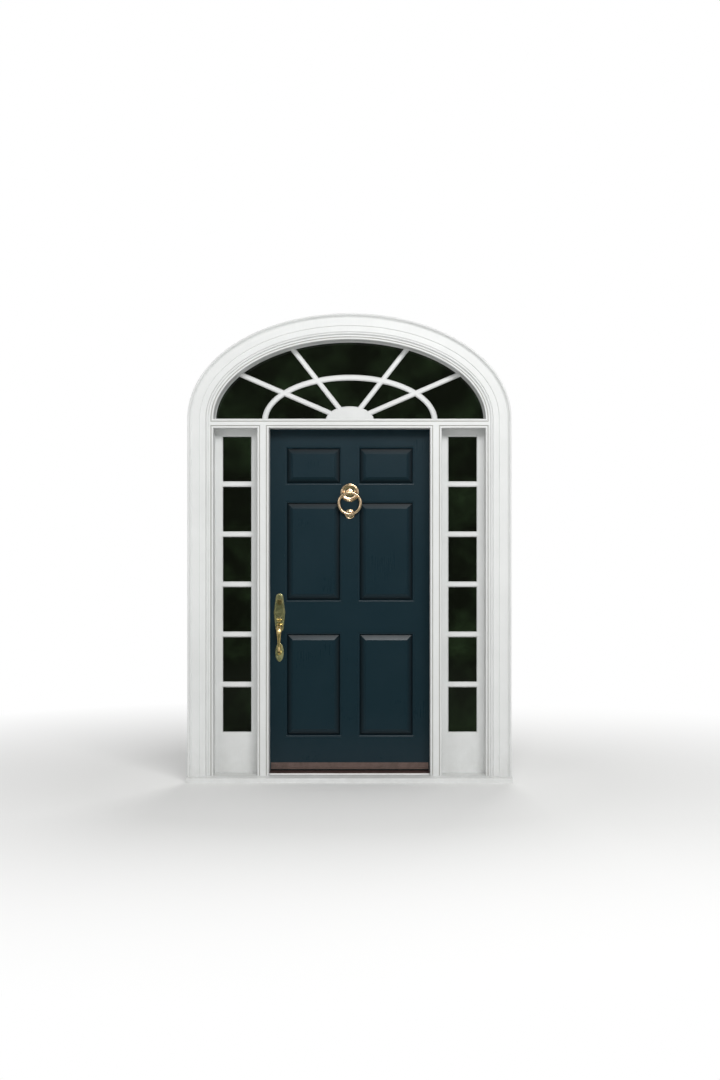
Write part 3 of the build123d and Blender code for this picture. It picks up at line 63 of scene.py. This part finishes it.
# %% [markdown]
# ## Helpers for materials
# A material is a tree of nodes, and each node takes several lines to add and join. Small
# helpers keep that short. They take plain values and sockets alike, so a number can later be
# swapped for a texture without touching the rest.

# %% Helpers: nodes
def fill(tree, socket, value):
    """Joins a socket to another socket, or gives it a plain value."""
    if isinstance(value, bpy.types.NodeSocket):
        tree.links.new(value, socket)
    else:
        socket.default_value = value


def fill_named(tree, node, values):
    """Fills a node's sockets by name. A name's underscores stand for spaces."""
    for name, value in values.items():
        fill(tree, node.inputs[name.replace("_", " ")], value)


def add_node(tree, kind, **values):
    """A new node with values for its sockets, such as Distance=0.1 for a Bump node."""
    node = tree.nodes.new(kind)
    fill_named(tree, node, values)
    return node


def math_node(tree, operation, *values):
    """The result of one Math node."""
    node = tree.nodes.new("ShaderNodeMath")
    node.operation = operation
    for socket, value in zip(node.inputs, values):
        fill(tree, socket, value)
    return node.outputs[0]


def weighted_sum(tree, first, second, weight):
    """The first value plus the second one times its weight."""
    return math_node(tree, "ADD", first, math_node(tree, "MULTIPLY", second, weight))


def map_range(tree, value, low, high, to_low=0.0, to_high=1.0):
    """Stretches a value from one range to another, with the ends held."""
    node = tree.nodes.new("ShaderNodeMapRange")
    for socket, number in zip(node.inputs, (value, low, high, to_low, to_high)):
        fill(tree, socket, number)
    return node.outputs[0]


# A Mix node has sockets for numbers, vectors and colours side by side. These are the ones
# that a mix of colours uses.
mix_share, mix_first, mix_second, mix_result = 0, 6, 7, 2


def mix_colour(tree, share, first, second):
    """The first colour at a share of 0, and the second at 1."""
    node = tree.nodes.new("ShaderNodeMix")
    node.data_type = "RGBA"
    for number, value in ((mix_share, share), (mix_first, first), (mix_second, second)):
        fill(tree, node.inputs[number], value)
    return node.outputs[mix_result]


print("helpers for single nodes:", add_node.__name__, math_node.__name__, mix_colour.__name__)

# %% Helpers: places, textures and groups
def object_place(tree):
    """Where a point lies, in the piece's own coordinates."""
    return tree.nodes.new("ShaderNodeTexCoord").outputs["Object"]


def noise(tree, place, **values):
    """Noise read at a place. A scale of 10 makes blots about 0.1 m across."""
    return add_node(tree, "ShaderNodeTexNoise", Vector=place, **values).outputs["Fac"]


number_socket = "NodeSocketFloat"
colour_socket = "NodeSocketColor"
vector_socket = "NodeSocketVector"


def new_group(name, inputs, outputs):
    """A shader node group with named inputs and outputs."""
    group = bpy.data.node_groups.new(name, "ShaderNodeTree")
    for label, kind, value in inputs:
        socket = group.interface.new_socket(label, in_out="INPUT", socket_type=kind)
        socket.default_value = value
    for label, kind in outputs:
        group.interface.new_socket(label, in_out="OUTPUT", socket_type=kind)
    given = group.nodes.new("NodeGroupInput").outputs
    made = group.nodes.new("NodeGroupOutput").inputs
    return group, given, made


print("helpers for textures and groups:", noise.__name__, new_group.__name__)

# %% [markdown]
# ## Brushed paint
# Paint on joinery is laid on with a brush along each board. Under a raking light it shows
# long fine furrows, a little unevenness in gloss, and soft clouds in its colour. A noise
# texture stretched along the board makes the furrows, and a broad one makes the clouds.
# White woodwork and the dark leaf use it with different values, so it is a node group.

# %% Node group: brushed paint
def brushed_paint_group():
    """Paint with clouds, brush furrows and a fine orange peel."""
    group, given, made = new_group(
        "brushed paint",
        [
            ("Colour", colour_socket, (0.8, 0.8, 0.8, 1)),
            ("Shade", colour_socket, (0.7, 0.7, 0.7, 1)),
            ("Along", vector_socket, (1, 1, 0.02)),
            ("Furrows", number_socket, 400.0),
            ("Gloss Low", number_socket, 0.3),
            ("Gloss High", number_socket, 0.45),
        ],
        [("Colour", colour_socket), ("Roughness", number_socket), ("Height", number_socket)],
    )
    cloud_range, furrow_range = (0.35, 0.7), (0.3, 0.7)
    cloud_share, furrow_share, peel_height = 0.7, 0.3, 0.5

    place = object_place(group)
    stretch = group.nodes.new("ShaderNodeVectorMath")
    stretch.operation = "MULTIPLY"
    fill(group, stretch.inputs[0], place)
    fill(group, stretch.inputs[1], given["Along"])
    furrows = noise(group, stretch.outputs[0], Scale=given["Furrows"], Detail=3, Roughness=0.6)
    clouds = noise(group, place, Scale=3.5, Detail=4, Roughness=0.55)
    peel = noise(group, place, Scale=260, Detail=2)

    clouds = map_range(group, clouds, *cloud_range)
    furrows = map_range(group, furrows, *furrow_range)
    clouds_part = math_node(group, "MULTIPLY", clouds, cloud_share)
    uneven = weighted_sum(group, clouds_part, furrows, furrow_share)
    fill(group, made["Colour"], mix_colour(group, uneven, given["Colour"], given["Shade"]))

    gloss_span = math_node(group, "SUBTRACT", given["Gloss High"], given["Gloss Low"])
    gloss = weighted_sum(group, given["Gloss Low"], gloss_span, uneven)
    fill(group, made["Roughness"], gloss)
    fill(group, made["Height"], weighted_sum(group, furrows, peel, peel_height))
    return group


brushed_paint = brushed_paint_group()
print("group:", brushed_paint.name)

# %% [markdown]
# ## Grime and dust
# Rain splashes the foot of a door, and dust settles on what faces up. The mask that this
# group gives out is strong near the floor and on ledges, and broken up by noise, so each
# material can mix its own dirt colour in.

# %% Helpers: direction and limits
def axes_of(tree, vector):
    """The X, Y and Z of a vector."""
    node = tree.nodes.new("ShaderNodeSeparateXYZ")
    fill(tree, node.inputs[0], vector)
    return node.outputs


def facing_up(tree):
    """1 on a surface that faces straight up, 0 on an upright one."""
    normal = tree.nodes.new("ShaderNodeNewGeometry").outputs["Normal"]
    return axes_of(tree, normal)["Z"]


def held(tree, value):
    """A value kept between 0 and 1."""
    return math_node(tree, "MINIMUM", math_node(tree, "MAXIMUM", value, 0.0), 1.0)


print("helpers for masks:", facing_up.__name__, held.__name__)

# %% Node group: grime
def grime_group():
    """A mask of rain splashes near the floor and dust on ledges."""
    group, given, made = new_group(
        "grime",
        [
            ("Splash Height", number_socket, 0.35),
            ("Splash", number_socket, 0.5),
            ("Ledges", number_socket, 0.5),
        ],
        [("Mask", number_socket)],
    )
    patch_range = (0.38, 0.68)
    even_dust, patchy_dust = 0.4, 0.6

    place = object_place(group)
    patches = noise(group, place, Scale=14, Detail=6, Roughness=0.65)
    patches = map_range(group, patches, *patch_range)

    height = math_node(group, "DIVIDE", axes_of(group, place)["Z"], given["Splash Height"])
    near_floor = math_node(group, "MAXIMUM", math_node(group, "SUBTRACT", 1.0, height), 0.0)
    splash = math_node(group, "MULTIPLY", near_floor, patches)
    splash = math_node(group, "MULTIPLY", splash, given["Splash"])

    ledge = math_node(group, "MAXIMUM", facing_up(group), 0.0)
    ledge = math_node(group, "MULTIPLY", ledge, given["Ledges"])
    dust = math_node(group, "MULTIPLY", ledge, weighted_sum(group, even_dust, patches, patchy_dust))
    fill(group, made["Mask"], held(group, math_node(group, "ADD", splash, dust)))
    return group


grime = grime_group()
print("group:", grime.name)

# %% [markdown]
# ## Painted shade in the grooves
# The dark line round each panel and along each bead is painted shade, where shade falls at
# the bottom of a moulding. The group takes how far a point lies in front of or behind a
# middle depth. It gives 0 at the unshaded distance and 1 at the dark one, so one pair of
# numbers serves both faces of the leaf. A material mixes its painted shade colour in.

# %% Node group: painted groove shade
def painted_groove_shade_group():
    """A painted shade mask, growing from an unshaded depth to a dark one on both sides of the
    middle.
    """
    group, given, made = new_group(
        "painted_groove_shade",
        [
            ("Middle", number_socket, 0.0),
            ("Clean", number_socket, 0.02),
            ("Dark", number_socket, 0.01),
        ],
        [("Mask", number_socket)],
    )
    depth = math_node(group, "SUBTRACT", axes_of(group, object_place(group))["Y"], given["Middle"])
    from_middle = math_node(group, "ABSOLUTE", depth)
    sunk = math_node(group, "SUBTRACT", given["Clean"], from_middle)
    span = math_node(group, "SUBTRACT", given["Clean"], given["Dark"])
    fill(group, made["Mask"], held(group, math_node(group, "DIVIDE", sunk, span)))
    return group


painted_groove_shade = painted_groove_shade_group()
print("group:", painted_groove_shade.name)

# %% [markdown]
# ## White paint on the woodwork
# The frame, sashes and casing carry satin white paint. It is grey with dirt along the ledges
# and near the floor, and it has painted shade in the grooves. Boards stand upright in some
# pieces and lie flat in others, so the brush furrows run along Z or along X. One function
# makes both, and the leaf's paint too.

# %% Helpers: materials
def new_material(name, **values):
    """A material with one Principled BSDF, and constants for the shader's sockets."""
    material = bpy.data.materials.new(name)
    material.use_nodes = True
    tree = material.node_tree
    shader = tree.nodes["Principled BSDF"]
    fill_named(tree, shader, values)
    return material, tree, shader


def place_group(tree, group, **values):
    """The outputs of a group that is placed in a material with the material's own values."""
    node = tree.nodes.new("ShaderNodeGroup")
    node.node_tree = group
    fill_named(tree, node, values)
    return node.outputs


def bump(tree, shader, height, distance, strength=1.0):
    """A Bump node between a height and the shader's normal."""
    node = add_node(tree, "ShaderNodeBump", Height=height, Distance=distance, Strength=strength)
    fill(tree, shader.inputs["Normal"], node.outputs["Normal"])


print("helpers for materials:", new_material.__name__, place_group.__name__, bump.__name__)

# %% Painted wood
upright = (1, 1, 0.02)
level = (0.02, 1, 1)
splash_height = 0.4
ledge_dust = 0.12
dirt_dulls = 0.3
groove_dulls = 0.1


def painted_wood(name, along, splash, clean, shade, dirt, groove_shade_colour, gloss_low, gloss_high,
                 middle, unshaded_at, dark_at, specular, furrow_depth):
    """Brushed paint, dirty near the floor, with painted shade in the grooves."""
    material, tree, shader = new_material(name, Specular_IOR_Level=specular)
    paint = place_group(tree, brushed_paint, Colour=clean, Shade=shade, Along=along,
                        Gloss_Low=gloss_low, Gloss_High=gloss_high)
    dirty = place_group(tree, grime, Splash_Height=splash_height, Splash=splash,
                        Ledges=ledge_dust)["Mask"]
    # A mask for the painted shade in the grooves, mixed in over the paint and its dirt.
    deep = place_group(tree, painted_groove_shade, Middle=middle, Clean=unshaded_at, Dark=dark_at)["Mask"]

    mixed = mix_colour(tree, dirty, paint["Colour"], dirt)
    fill(tree, shader.inputs["Base Color"], mix_colour(tree, deep, mixed, groove_shade_colour))
    dull = weighted_sum(tree, paint["Roughness"], dirty, dirt_dulls)
    fill(tree, shader.inputs["Roughness"], weighted_sum(tree, dull, deep, groove_dulls))
    bump(tree, shader, paint["Height"], furrow_depth)
    return material


print("boards upright or level:", upright, level)

# %% White paint
def depths_of(name):
    """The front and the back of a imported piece, as places along Y."""
    depths = [corner[1] for corner in nodes[name].bound_box]
    return min(depths), max(depths)


quirk_depth = 0.005
frame_front, _ = depths_of("arched_head")
white_paint = dict(
    clean=(0.712, 0.722, 0.715, 1),
    shade=(0.646, 0.656, 0.648, 1),
    dirt=(0.36, 0.34, 0.30, 1),
    # The groove colour is painted shade.
    groove_shade_colour=(0.40, 0.395, 0.37, 1),
    gloss_low=0.32,
    gloss_high=0.46,
    # Painted shade is darkest at the bottom of the quirk beside each bead of the frame.
    middle=frame_front + quirk_depth,
    unshaded_at=0.003,
    dark_at=0.0,
    specular=0.5,
    furrow_depth=0.0001,
)
white_upright = painted_wood("white paint upright", along=upright, splash=0.15, **white_paint)
white_level = painted_wood("white paint level", along=level, splash=0.12, **white_paint)
print("frame's front:", round(frame_front, 4), "paints:", white_upright.name, white_level.name)

# %% [markdown]
# ## Dark paint on the leaf
# The leaf is painted a blue-black that looks almost black in shade. Its brush marks are much
# fainter than the white paint's. Rails run across and stiles run up, so the furrows change
# direction at each joint, which is what lets the eye read a panelled door as joinery.

# %% Blue-black paint
leaf_front, leaf_back = depths_of("hinge_stile")
leaf_paint = dict(
    clean=(0.0041, 0.0175, 0.0254, 1),
    shade=(0.0049, 0.0190, 0.0274, 1),
    dirt=(0.030, 0.032, 0.032, 1),
    # The groove colour is painted shade round the panels and along the sticking.
    groove_shade_colour=(0.0006, 0.0050, 0.0080, 1),
    gloss_low=0.27,
    gloss_high=0.31,
    splash=0.06,
    # The next two depths count from the leaf's middle towards both faces.
    middle=(leaf_front + leaf_back) / 2,
    unshaded_at=0.0165,
    dark_at=0.006,
    specular=0.26,
    furrow_depth=0.00004,
)
leaf_upright = painted_wood("leaf paint upright", along=upright, **leaf_paint)
leaf_level = painted_wood("leaf paint level", along=level, **leaf_paint)
print("leaf from", round(leaf_front, 4), "to", round(leaf_back, 4), "paints:",
      leaf_upright.name, leaf_level.name)

# %% [markdown]
# ## Brass
# Polished brass outdoors keeps a warm shine where hands touch it and turns brown where they
# don't. One noise decides where the tarnish lies, and colour, gloss and the share of bare
# metal all follow it, because tarnish is a film and not a metal. Fine scratches go into the
# bump. The knocker looks rosy, so it has its own brass. The handle's plates have a greenish
# brass of their own, which is a painted reflection of green surroundings. The sweep and the
# lock use the same group for bronze and bare steel.

# %% Node group: tarnish
def tarnish_group():
    """Metal with tarnish in patches, and scratches all over."""
    group, given, made = new_group(
        "tarnish",
        [
            ("Bright", colour_socket, (0.8, 0.6, 0.3, 1)),
            ("Dull", colour_socket, (0.3, 0.2, 0.1, 1)),
            ("Patch Scale", number_socket, 30.0),
            ("Amount", number_socket, 0.5),
            ("Gloss", number_socket, 0.15),
            ("Metal", number_socket, 1.0),
            ("Patina", number_socket, 0.3),
        ],
        [
            ("Colour", colour_socket),
            ("Roughness", number_socket),
            ("Metallic", number_socket),
            ("Height", number_socket),
        ],
    )
    patch_range = (0.42, 0.7)
    tarnish_dulls = 0.35

    place = object_place(group)
    patches = noise(group, place, Scale=given["Patch Scale"], Detail=6, Roughness=0.65)
    patches = map_range(group, patches, *patch_range)
    share = math_node(group, "MULTIPLY", patches, given["Amount"])
    fill(group, made["Colour"], mix_colour(group, share, given["Bright"], given["Dull"]))
    film = math_node(group, "MULTIPLY", share, given["Patina"])
    fill(group, made["Metallic"], math_node(group, "SUBTRACT", given["Metal"], film))
    fill(group, made["Roughness"], weighted_sum(group, given["Gloss"], share, tarnish_dulls))
    fill(group, made["Height"], noise(group, place, Scale=900, Detail=2, Distortion=1.5))
    return group


tarnish = tarnish_group()
print("group:", tarnish.name)

# %% Brasses, steel and bronze
scratch_depth = 0.000008


def metal(name, bright, dull, patch_scale, amount, gloss, metallic=1.0, patina=0.2):
    """A metal with tarnish in patches and fine scratches."""
    material, tree, shader = new_material(name)
    worn = place_group(tree, tarnish, Bright=bright, Dull=dull, Patch_Scale=patch_scale,
                       Amount=amount, Gloss=gloss, Metal=metallic, Patina=patina)
    fill(tree, shader.inputs["Base Color"], worn["Colour"])
    fill(tree, shader.inputs["Roughness"], worn["Roughness"])
    fill(tree, shader.inputs["Metallic"], worn["Metallic"])
    bump(tree, shader, worn["Height"], scratch_depth)
    return material


brass = metal("polished brass", bright=(0.84, 0.63, 0.29, 1), dull=(0.62, 0.45, 0.20, 1),
              patch_scale=9, amount=0.5, gloss=0.12)
rose_brass = metal("rose brass", bright=(0.97, 0.72, 0.48, 1), dull=(0.74, 0.46, 0.25, 1),
                   patch_scale=9, amount=0.35, gloss=0.09)
# The plates' greenish brass is a painted reflection of green surroundings.
plate_brass_painted_green = metal("plate brass with painted green reflection", bright=(0.68, 0.64, 0.34, 1), dull=(0.50, 0.50, 0.26, 1),
                    patch_scale=9, amount=0.7, gloss=0.12, metallic=0.95, patina=0.1)
steel = metal("bare steel", bright=(0.56, 0.56, 0.55, 1), dull=(0.32, 0.31, 0.30, 1),
              patch_scale=60, amount=0.6, gloss=0.28)
bronze = metal("bronze sweep", bright=(0.17, 0.115, 0.10, 1), dull=(0.09, 0.065, 0.055, 1),
               patch_scale=18, amount=0.9, gloss=0.34, metallic=0.6)
print("metals:", brass.name, rose_brass.name, plate_brass_painted_green.name, steel.name, bronze.name)

# %% [markdown]
# ## The threshold
# The strip under the leaf is bright metal, and its front lip shows it. Its top is painted a
# dark red-brown: painted shade under the leaf, with a painted reflection of the sweep in it.
# The surface's own direction tells the two apart, so the painted shade needs no drawing.

# %% Threshold
def threshold_metal():
    """Bright on its front lip, with painted shade and a painted reflection on top."""
    # The top's dark red-brown is painted shade with a painted reflection of the sweep.
    painted_shade_and_reflection = (0.085, 0.050, 0.045, 1)
    side_to_top = (0.3, 0.8)
    lip_scratches = 0.00001
    material, tree, shader = new_material("threshold metal", Metallic=0.3)
    worn = place_group(tree, tarnish, Bright=(0.90, 0.90, 0.89, 1), Dull=(0.74, 0.73, 0.71, 1),
                       Patch_Scale=26, Amount=0.6, Gloss=0.32)
    on_top = map_range(tree, facing_up(tree), *side_to_top)
    fill(tree, shader.inputs["Base Color"],
         mix_colour(tree, on_top, worn["Colour"], painted_shade_and_reflection))
    fill(tree, shader.inputs["Roughness"], worn["Roughness"])
    bump(tree, shader, worn["Height"], lip_scratches)
    return material


threshold_finish = threshold_metal()
print("threshold:", threshold_finish.name)

# %% [markdown]
# ## Glass
# The room behind is dark, so from outside the panes look almost black with a green cast, and
# only their gloss shows that they are glass. The dark tint in the glass itself is painted shade
# of that dark room, and it keeps the panes dark on any background. The green is a painted
# reflection of foliage: two noises, one broad and one fine, make it uneven, as a reflection in
# a dark pane is. A very faint wave in the surface stands for rolled glass.

# %% Glass
def pane_glass():
    """Dark glass: its tint is painted shade, and its green is a painted reflection."""
    # The tint stands in for the dark room as painted shade, and the green is a painted reflection.
    almost_black, painted_reflection_green = (0.003, 0.004, 0.002, 1), (0.016, 0.029, 0.012, 1)
    broad_range, fine_range, least_green = (0.42, 0.66), (0.35, 0.65), 0.35
    wave_depth, wave_strength = 0.002, 0.4
    material, tree, shader = new_material(
        "pane glass", Transmission_Weight=0.85, Roughness=0.02, IOR=1.45,
        Specular_IOR_Level=0.4)
    place = object_place(tree)
    broad = noise(tree, place, Scale=3.0, Detail=3, Roughness=0.6)
    fine = noise(tree, place, Scale=28, Detail=5, Roughness=0.7)
    painted_reflection_share = math_node(tree, "MULTIPLY", map_range(tree, broad, *broad_range),
                      map_range(tree, fine, *fine_range, least_green, 1.0))
    fill(tree, shader.inputs["Base Color"], mix_colour(tree, painted_reflection_share, almost_black, painted_reflection_green))
    bump(tree, shader, noise(tree, place, Scale=5, Detail=1), wave_depth, wave_strength)
    return material


glass = pane_glass()
print("glass:", glass.name)

# %% [markdown]
# ## Rubber seal
# The weatherstrip is a soft black strip in the stop. Fine dust clings to it, and dusty spots
# are both paler and duller, so one noise drives its colour and its roughness.

# %% Rubber
def seal_rubber():
    """Matt black rubber with fine dust."""
    black, dusty = (0.02, 0.02, 0.02, 1), (0.06, 0.06, 0.055, 1)
    dusty_range, dull_range, dullness = (0.45, 0.75), (0.3, 0.7), (0.55, 0.8)
    grain_depth = 0.0001
    material, tree, shader = new_material("seal rubber", Specular_IOR_Level=0.3)
    dust = noise(tree, object_place(tree), Scale=90, Detail=4)
    fill(tree, shader.inputs["Base Color"],
         mix_colour(tree, map_range(tree, dust, *dusty_range), black, dusty))
    fill(tree, shader.inputs["Roughness"], map_range(tree, dust, *dull_range, *dullness))
    bump(tree, shader, dust, grain_depth)
    return material


rubber = seal_rubber()
print("seal:", rubber.name)

# %% [markdown]
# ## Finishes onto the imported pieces
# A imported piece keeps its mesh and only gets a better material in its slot. The record's slot
# says what the piece is made of. Boards that lie flat, the handle's plates and the knocker
# have a finish of their own, and they are found by name.

# %% Assign the materials
finish_of_slot = {
    "glass": glass,
    "brass": brass,
    "steel": steel,
    "bronze": bronze,
    "threshold_metal": threshold_finish,
    "seal": rubber,
    "frame_paint": white_upright,
    "sill_paint": white_level,
    "leaf_paint": leaf_upright,
}
own_finish = {
    **dict.fromkeys(("sill", "transom_bar", "sidelight_muntins"), white_level),
    **dict.fromkeys(("top_rail", "frieze_rail", "lock_rail", "bottom_rail"), leaf_level),
    **dict.fromkeys(("handle_upper_plate", "handle_lower_plate"), plate_brass_painted_green),
    **dict.fromkeys(("knocker_rose", "knocker_ring", "knocker_striker"), rose_brass),
}
slot_of = {row["node"]: row["material_slot"] for row in frame["record"]["subparts"]}
for name, piece in nodes.items():
    piece.data.materials.clear()
    piece.data.materials.append(own_finish.get(name, finish_of_slot[slot_of[name]]))
print("finished pieces:", len(nodes))

# %% [markdown]
# ## Floor and background
# The floor is plain and pale. It fades to white away from the door, and the world is white
# too, so no horizon shows. Only the rays that show a background get that white: the camera's,
# and those of gloss and glass. The light on the door stays at its own plain level.

# %% Floor
def stage_plane(name, size, place, turn=(0, 0, 0)):
    """A flat plane that belongs to the studio and not to the door."""
    across, deep = size[0] / 2, size[1] / 2
    corners = [(-across, -deep, 0), (across, -deep, 0), (across, deep, 0), (-across, deep, 0)]
    mesh = bpy.data.meshes.new(name)
    mesh.from_pydata(corners, [], [(0, 1, 2, 3)])
    plane = bpy.data.objects.new(name, mesh)
    plane.location = place
    plane.rotation_euler = turn
    bpy.context.scene.collection.objects.link(plane)
    return plane


def white_rays(tree):
    """1 for camera, glossy and transmission rays, which are the ones that show a background."""
    path = tree.nodes.new("ShaderNodeLightPath").outputs
    seen = math_node(tree, "MAXIMUM", path["Is Camera Ray"], path["Is Glossy Ray"])
    return math_node(tree, "MAXIMUM", seen, path["Is Transmission Ray"])


def floor_material():
    """Pale and matt near the door, and plain white further away."""
    fade_start, fade_end = 1.6, 4.5
    material, tree, shader = new_material(
        "pale floor", Base_Color=(0.83, 0.83, 0.82, 1), Roughness=0.9, Specular_IOR_Level=0.1)
    distance = tree.nodes.new("ShaderNodeVectorMath")
    distance.operation = "LENGTH"
    position = tree.nodes.new("ShaderNodeNewGeometry").outputs["Position"]
    fill(tree, distance.inputs[0], position)
    far = map_range(tree, distance.outputs["Value"], fade_start, fade_end)
    glow = add_node(tree, "ShaderNodeEmission", Strength=1.0)
    fade = tree.nodes.new("ShaderNodeMixShader")
    fill(tree, fade.inputs[0], math_node(tree, "MULTIPLY", far, white_rays(tree)))
    fill(tree, fade.inputs[1], shader.outputs[0])
    fill(tree, fade.inputs[2], glow.outputs[0])
    fill(tree, tree.nodes["Material Output"].inputs["Surface"], fade.outputs[0])
    return material


floor = stage_plane("floor", size=(60, 60), place=(0, 0, 0))
floor.data.materials.append(floor_material())
print("floor:", floor.name)

# %% World
def studio_world(fill_light):
    """White where it is seen, and at the fill light's strength where it lights the door."""
    world = bpy.data.worlds.new("studio")
    bpy.context.scene.world = world
    world.use_nodes = True
    tree = world.node_tree
    background = tree.nodes["Background"]
    background.inputs["Color"].default_value = (1, 1, 1, 1)
    strength = weighted_sum(tree, fill_light, white_rays(tree), 1 - fill_light)
    fill(tree, background.inputs["Strength"], strength)


studio_world(fill_light=0.38)
print("world:", bpy.context.scene.world.name)

# %% [markdown]
# ## Lamps
# A large lamp high in front gives the mouldings their shadows. A weaker one from the left and
# one from behind keep the other sides readable. These two don't show in reflections, so the
# brass and the dark paint mirror one clear light.

# %% Lamps
def soft_lamp(name, place, size, power):
    """An area lamp aimed at the door's middle, unseen by the camera and through glass."""
    door_middle = Vector((0, 0, 1.4))
    lamp = bpy.data.objects.new(name, bpy.data.lights.new(name, "AREA"))
    lamp.data.shape = "RECTANGLE"
    lamp.data.size, lamp.data.size_y = size
    lamp.data.energy = power
    lamp.location = place
    aim = door_middle - Vector(place)
    lamp.rotation_euler = aim.to_track_quat("-Z", "Y").to_euler()
    lamp.visible_camera = False
    lamp.visible_transmission = False
    bpy.context.scene.collection.objects.link(lamp)
    return lamp


soft_lamp("key", place=(1.5, -6.6, 5.3), size=(4.0, 2.0), power=395)
side_fill = soft_lamp("fill", place=(-4.5, -6.5, 2.5), size=(3.0, 4.0), power=60)
back_fill = soft_lamp("back", place=(1.5, 7.5, 3.6), size=(4.0, 3.0), power=330)
for lamp in (side_fill, back_fill):
    lamp.visible_glossy = False
print("lamps:", [light.name for light in bpy.data.lights])

# %% [markdown]
# ## Dark cards
# Glass, brass and dark paint mirror what stands around them, and in an all-white studio they
# turn milky. Photographers stand dark cards around such things. These are seen only in
# reflections. Three stand behind the camera, and the white gaps between them give the brass
# its bright streaks. One over the door keeps the sky out of the panels' bevels, one lies on
# the floor in front, and one beyond the door serves the room side.

# %% Cards for the reflections
card_paint, _, _ = new_material(
    "dark card", Base_Color=(0.13, 0.16, 0.12, 1), Roughness=1.0, Specular_IOR_Level=0.0)
standing = (math.radians(90), 0, 0)
behind_camera_y, beyond_door_y = -11.0, 11.0
left_x, right_x = -14.4, 14.4
centre_z = -0.8
dark_cards = (
    stage_plane("middle card", size=(5.2, 10), place=(0, behind_camera_y, centre_z), turn=standing),
    stage_plane("left card", size=(15, 10), place=(left_x, behind_camera_y, centre_z),
                turn=standing),
    stage_plane("right card", size=(15, 10), place=(right_x, behind_camera_y, centre_z),
                turn=standing),
    stage_plane("level card", size=(44, 9.5), place=(0, -6.0, 0.02)),
    stage_plane("roof card", size=(7, 2.8), place=(0, -1.75, 3.5)),
    stage_plane("back card", size=(26, 10), place=(0, beyond_door_y, centre_z), turn=standing),
)
for card in dark_cards:
    card.data.materials.append(card_paint)
    card.visible_camera = False
    card.visible_diffuse = False
    card.visible_shadow = False
    card.visible_transmission = False
print("dark cards:", len(dark_cards))
